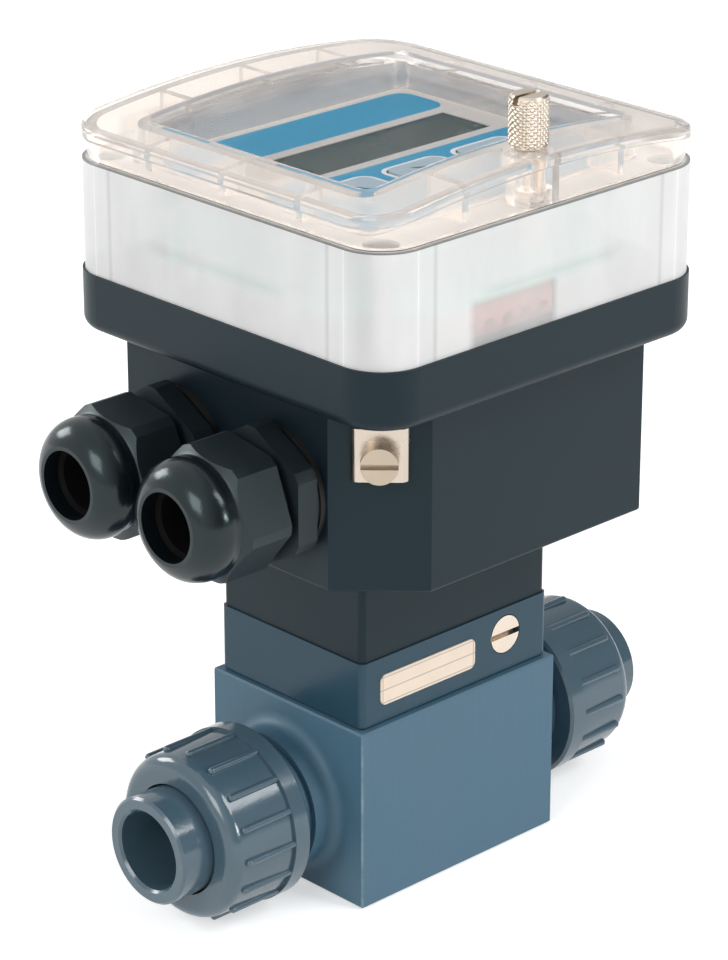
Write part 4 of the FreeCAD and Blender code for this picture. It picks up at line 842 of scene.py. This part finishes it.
class FLOWMETER_OT_glands(Builder):
    """Finishes the two cable glands"""

    bl_idname = "flowmeter.glands"
    bl_label = "Cable glands"

    def build(self, settings, colours):
        dome_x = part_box("front_gland_nut")[0].x + settings.zones.dome
        black = gland_plastic(colours.gland, dome_x)
        dress(black, *[g + p for g in GLANDS for p in ("_gland_body", "_gland_nut", "_gland_locknut")])
        dress(rubber("gland_washer_rubber", colours.rubber), *[g + "_gland_washer" for g in GLANDS])
        dress(rubber("gland_sleeve_rubber", colours.sleeve, gloss=0.10), *[g + "_gland_seal" for g in GLANDS])


class FLOWMETER_OT_fasteners(Builder):
    """Finishes screws, pins, the earth terminal and the rating plate"""

    bl_idname = "flowmeter.fasteners"
    bl_label = "Screws and plate"

    def build(self, settings, colours):
        steel = metal("bright_steel", colours.steel, rough=0.26, lines=(2600, 2600, 300))
        dress(steel, "holder_screws", "cover_screws", "hinge_pins", "screw_clip", "board_screws", "wheel_axle")
        nickel = metal("nickel_plate", colours.nickel, rough=0.24, lines=EVEN_GRAIN)
        dress(nickel, "locking_screw", "screw_insert", "board_pillars")
        plated = metal("plated_clip", colours.clip, rough=0.20, lines=EVEN_GRAIN)
        dress(plated, "ground_clip", "ground_washer")
        dress(metal("brass_screw", colours.brass, rough=0.30, lines=(500, 500, 2600)), "ground_screw")
        low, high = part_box("rating_plate")
        dress(plate_film(colours, settings.zones, low, high), "rating_plate")


class FLOWMETER_OT_covers(Builder):
    """Finishes the clear lid and the frosted cover"""

    bl_idname = "flowmeter.covers"
    bl_label = "Clear covers"

    def build(self, settings, colours):
        zones, clearness = settings.zones, settings.clearness
        dress(clear_plastic(colours, zones, clearness), "lid")
        low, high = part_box("terminal_block")
        shown_low = low.x - zones.shift_x, low.z
        shown_high = high.x - zones.shift_x - zones.inset, high.z + zones.shift_z
        dress(frosted_plastic(colours, zones, clearness, shown_low, shown_high), "clear_cover")


class FLOWMETER_OT_thumb_screw(Builder):
    """Finishes the thumb screw and puts the knurl round its head"""

    bl_idname = "flowmeter.thumb_screw"
    bl_label = "Thumb screw"

    def build(self, settings, colours):
        knurl = settings.knurl
        low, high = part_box("thumb_screw")
        centre = (low + high) / 2
        dress(metal("thumb_screw_nickel", colours.nickel, rough=0.22, lines=EVEN_GRAIN), "thumb_screw")
        nickel = knurled_metal(colours, knurl, centre.xy, (high.x - low.x) / 2)
        lid_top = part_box("lid")[1].z
        low.z = lid_top + knurl.lift
        mesh = knurl_mesh(knurl, low, high, centre, nickel.material)
        mesh.shade_smooth()
        piece("thumb_screw_knurl", mesh, "thumb_screw", nickel)


class FLOWMETER_OT_display(Builder):
    """Finishes the display and prints the foil and the keys"""

    bl_idname = "flowmeter.display"
    bl_label = "Display"

    def build(self, settings, colours):
        dress(film("foil_film", colours.foil, rough=0.36), "display_foil")
        dress(display_glass(colours), "lcd_module")
        dress(moulded_plastic("carrier_plastic", colours.dark, rough=0.40, grain=2000), "display_carrier")
        dress(film("key_film", colours.key, rough=0.40), *[k + "_key" for k in KEYS])
        blue = film("blue_ink", colours.blue, rough=0.34)
        white = film("white_ink", colours.outline, rough=0.36)
        self.print_bands(settings.printing, blue, white)
        self.print_symbols(settings.printing, film("dark_ink", colours.symbol, rough=0.36))

    def print_bands(self, sizes, blue, white):
        low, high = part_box("display_foil")
        glass_low, glass_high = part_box("lcd_module")
        x0, x1 = low.x + sizes.margin, high.x - sizes.margin
        y0, y1 = low.y + sizes.margin, high.y - sizes.margin
        above = rounded_loop(x0, x1, glass_high.y + sizes.gap, y1, sizes.corner)
        piece("upper_band", ink_mesh("upper_band", [above], high.z, sizes.ink), "meter", blue)
        below = [rounded_loop(x0, x1, y0, glass_low.y - sizes.gap, sizes.corner)]
        for k in KEYS:
            key_low, key_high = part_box(k + "_key")
            cap = grown((key_low.x, key_high.x, key_low.y, key_high.y), -sizes.overlap)
            hole = rounded_loop(*cap, sizes.key_corner)
            ring = rounded_loop(*grown(cap, sizes.outline), sizes.key_corner + sizes.outline)
            below.append(ring)
            mesh = ink_mesh(k + "_key_outline", [ring, hole], high.z, sizes.ink)
            piece(k + "_key_outline", mesh, "meter", white)
        piece("lower_band", ink_mesh("lower_band", below, high.z, sizes.ink), "meter", blue)

    def print_symbols(self, sizes, dark):
        half = sizes.symbol
        arrow = [(-half, -half), (half, 0), (-half, half), (-half * sizes.notch, 0)]
        for k, turn in zip(KEYS, (math.pi / 2, 0, -math.pi / 2)):
            low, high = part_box(k + "_key")
            centre = (low + high) / 2
            cos, sin = math.cos(turn), math.sin(turn)
            loop = [(centre.x + x * cos - y * sin, centre.y + x * sin + y * cos) for x, y in arrow]
            mesh = ink_mesh(k + "_key_symbol", [loop], high.z, sizes.ink)
            piece(k + "_key_symbol", mesh, k + "_button", dark)


class FLOWMETER_OT_boards(Builder):
    """Finishes the circuit boards and what stands on them"""

    bl_idname = "flowmeter.boards"
    bl_label = "Circuit boards"

    def build(self, settings, colours):
        dress(circuit_board(colours.board), "display_board", "terminal_board")
        dark = moulded_plastic("switch_plastic", colours.dark, rough=0.40, grain=2000)
        dress(dark, "board_connector", *[k + "_switch" for k in KEYS])
        dress(moulded_plastic("terminal_plastic", colours.terminal, rough=0.36, grain=2000), "terminal_block")


class FLOWMETER_OT_stage(Builder):
    """Sets the camera, floor and studio light"""

    bl_idname = "flowmeter.stage"
    bl_label = "Stage"

    def build(self, settings, colours):
        stage = settings.stage
        scene = bpy.context.scene
        scene.view_settings.view_transform = "Standard"
        self.camera(scene, stage)
        self.floor(scene, stage, colours.floor)
        self.world(scene, stage)
        for name, place, width, setting in LAMPS:
            self.lamp(scene, name, place, width, getattr(stage, setting))

    def camera(self, scene, stage):
        data = bpy.data.cameras.new("camera")
        data.lens = stage.lens
        data.sensor_width = SENSOR_WIDTH
        data.clip_start, data.clip_end = CLIP_NEAR, CLIP_FAR
        made = bpy.data.objects.new("camera", data)
        made.location = stage.camera_place
        made.rotation_euler = (math.pi / 2 - stage.elevation, 0, stage.azimuth)
        scene.collection.objects.link(made)
        scene.camera = made

    def floor(self, scene, stage, base):
        grid = bmesh.new()
        bmesh.ops.create_grid(grid, x_segments=1, y_segments=1, size=FLOOR_HALF)
        mesh = bpy.data.meshes.new("floor")
        grid.to_mesh(mesh)
        grid.free()
        made = bpy.data.objects.new("floor", mesh)
        made.location.z = -FLOOR_DROP
        scene.collection.objects.link(made)
        finish = Finish("floor_paper", Base_Color=base, Roughness=0.9, Specular_IOR_Level=0.1)
        rays = finish.node("ShaderNodeLightPath").outputs
        seen = finish.most(*[rays[name] for name in SEEN_RAYS])
        finish.set(
            Emission_Color=WHITE,
            Emission_Strength=finish.times(seen, stage.floor_glow),
            Normal=finish.bump(finish.noise(scale=900, detail=2), distance=0.05 * MM, strength=0.1),
        )
        mesh.materials.append(finish.material)

    def world(self, scene, stage):
        world = bpy.data.worlds.new("studio")
        world.use_nodes = True
        tree = world.node_tree
        background = tree.nodes["Background"]
        background.inputs["Color"].default_value = (*WHITE, 1)
        rays = tree.nodes.new("ShaderNodeLightPath").outputs
        seen = rays[SEEN_RAYS[0]]
        for name in SEEN_RAYS[1:]:
            either = tree.nodes.new("ShaderNodeMath")
            either.operation = "MAXIMUM"
            tree.links.new(seen, either.inputs[0])
            tree.links.new(rays[name], either.inputs[1])
            seen = either.outputs[0]
        level = tree.nodes.new("ShaderNodeMapRange")
        level.inputs["To Min"].default_value = stage.world_level
        tree.links.new(seen, level.inputs["Value"])
        tree.links.new(self.reflected(tree, rays, stage), level.inputs["To Max"])
        tree.links.new(level.outputs[0], background.inputs["Strength"])
        scene.world = world

    def reflected(self, tree, rays, stage):
        """Level the rays meet: white, but greyer in front for reflections."""
        front = tree.nodes.new("ShaderNodeVectorMath")
        front.operation = "DOT_PRODUCT"
        tree.links.new(tree.nodes.new("ShaderNodeTexCoord").outputs["Generated"], front.inputs[0])
        front.inputs[1].default_value = Vector(GREY_SIDE).normalized()
        shade = tree.nodes.new("ShaderNodeMapRange")
        shade.inputs["From Min"].default_value, shade.inputs["From Max"].default_value = GREY_FADE
        shade.inputs["To Min"].default_value = 1
        shade.inputs["To Max"].default_value = stage.front_level
        tree.links.new(front.outputs["Value"], shade.inputs["Value"])
        chosen = tree.nodes.new("ShaderNodeMapRange")
        chosen.inputs["To Min"].default_value = 1
        tree.links.new(rays["Is Glossy Ray"], chosen.inputs["Value"])
        tree.links.new(shade.outputs[0], chosen.inputs["To Max"])
        return chosen.outputs[0]

    def lamp(self, scene, name, place, width, watts):
        data = bpy.data.lights.new(name, "AREA")
        data.size = width
        data.energy = watts
        made = bpy.data.objects.new(name, data)
        made.visible_camera = False
        made.location = place
        aim = Vector(LAMP_AIM) - made.location
        made.rotation_euler = aim.to_track_quat("-Z", "Y").to_euler()
        scene.collection.objects.link(made)


class FLOWMETER_PT_panel(bpy.types.Panel):
    """Steps and settings of the flow meter"""

    bl_idname = "FLOWMETER_PT_panel"
    bl_label = "Flow Meter"
    bl_space_type = "VIEW_3D"
    bl_region_type = "UI"
    bl_category = "Flow Meter"

    def draw(self, context):
        layout = self.layout
        settings = context.scene.flow_meter
        for step in STEPS:
            layout.operator(step.bl_idname)
        for group in settings.__annotations__:
            values = getattr(settings, group)
            box = layout.box()
            for name in values.__annotations__:
                box.prop(values, name)


STEPS = (
    FLOWMETER_OT_pipe,
    FLOWMETER_OT_wheel,
    FLOWMETER_OT_head,
    FLOWMETER_OT_glands,
    FLOWMETER_OT_fasteners,
    FLOWMETER_OT_covers,
    FLOWMETER_OT_thumb_screw,
    FLOWMETER_OT_display,
    FLOWMETER_OT_boards,
    FLOWMETER_OT_stage,
)
GROUPS = (
    FlowMeterColours, FlowMeterZones, FlowMeterClearness, FlowMeterKnurl, FlowMeterPrint, FlowMeterStage,
    FlowMeterSettings,
)


def register():
    for part in GROUPS + STEPS + (FLOWMETER_PT_panel,):
        bpy.utils.register_class(part)
    bpy.types.Scene.flow_meter = PointerProperty(type=FlowMeterSettings)


def unregister():
    del bpy.types.Scene.flow_meter
    for part in reversed(GROUPS + STEPS + (FLOWMETER_PT_panel,)):
        bpy.utils.unregister_class(part)


def main():
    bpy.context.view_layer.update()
    register()
    for step in STEPS:
        group, name = step.bl_idname.split(".")
        result = getattr(getattr(bpy.ops, group), name)()
        if result != {"FINISHED"}:
            raise RuntimeError(step.bl_label + " did not finish")


if __name__ == "__main__":
    main()
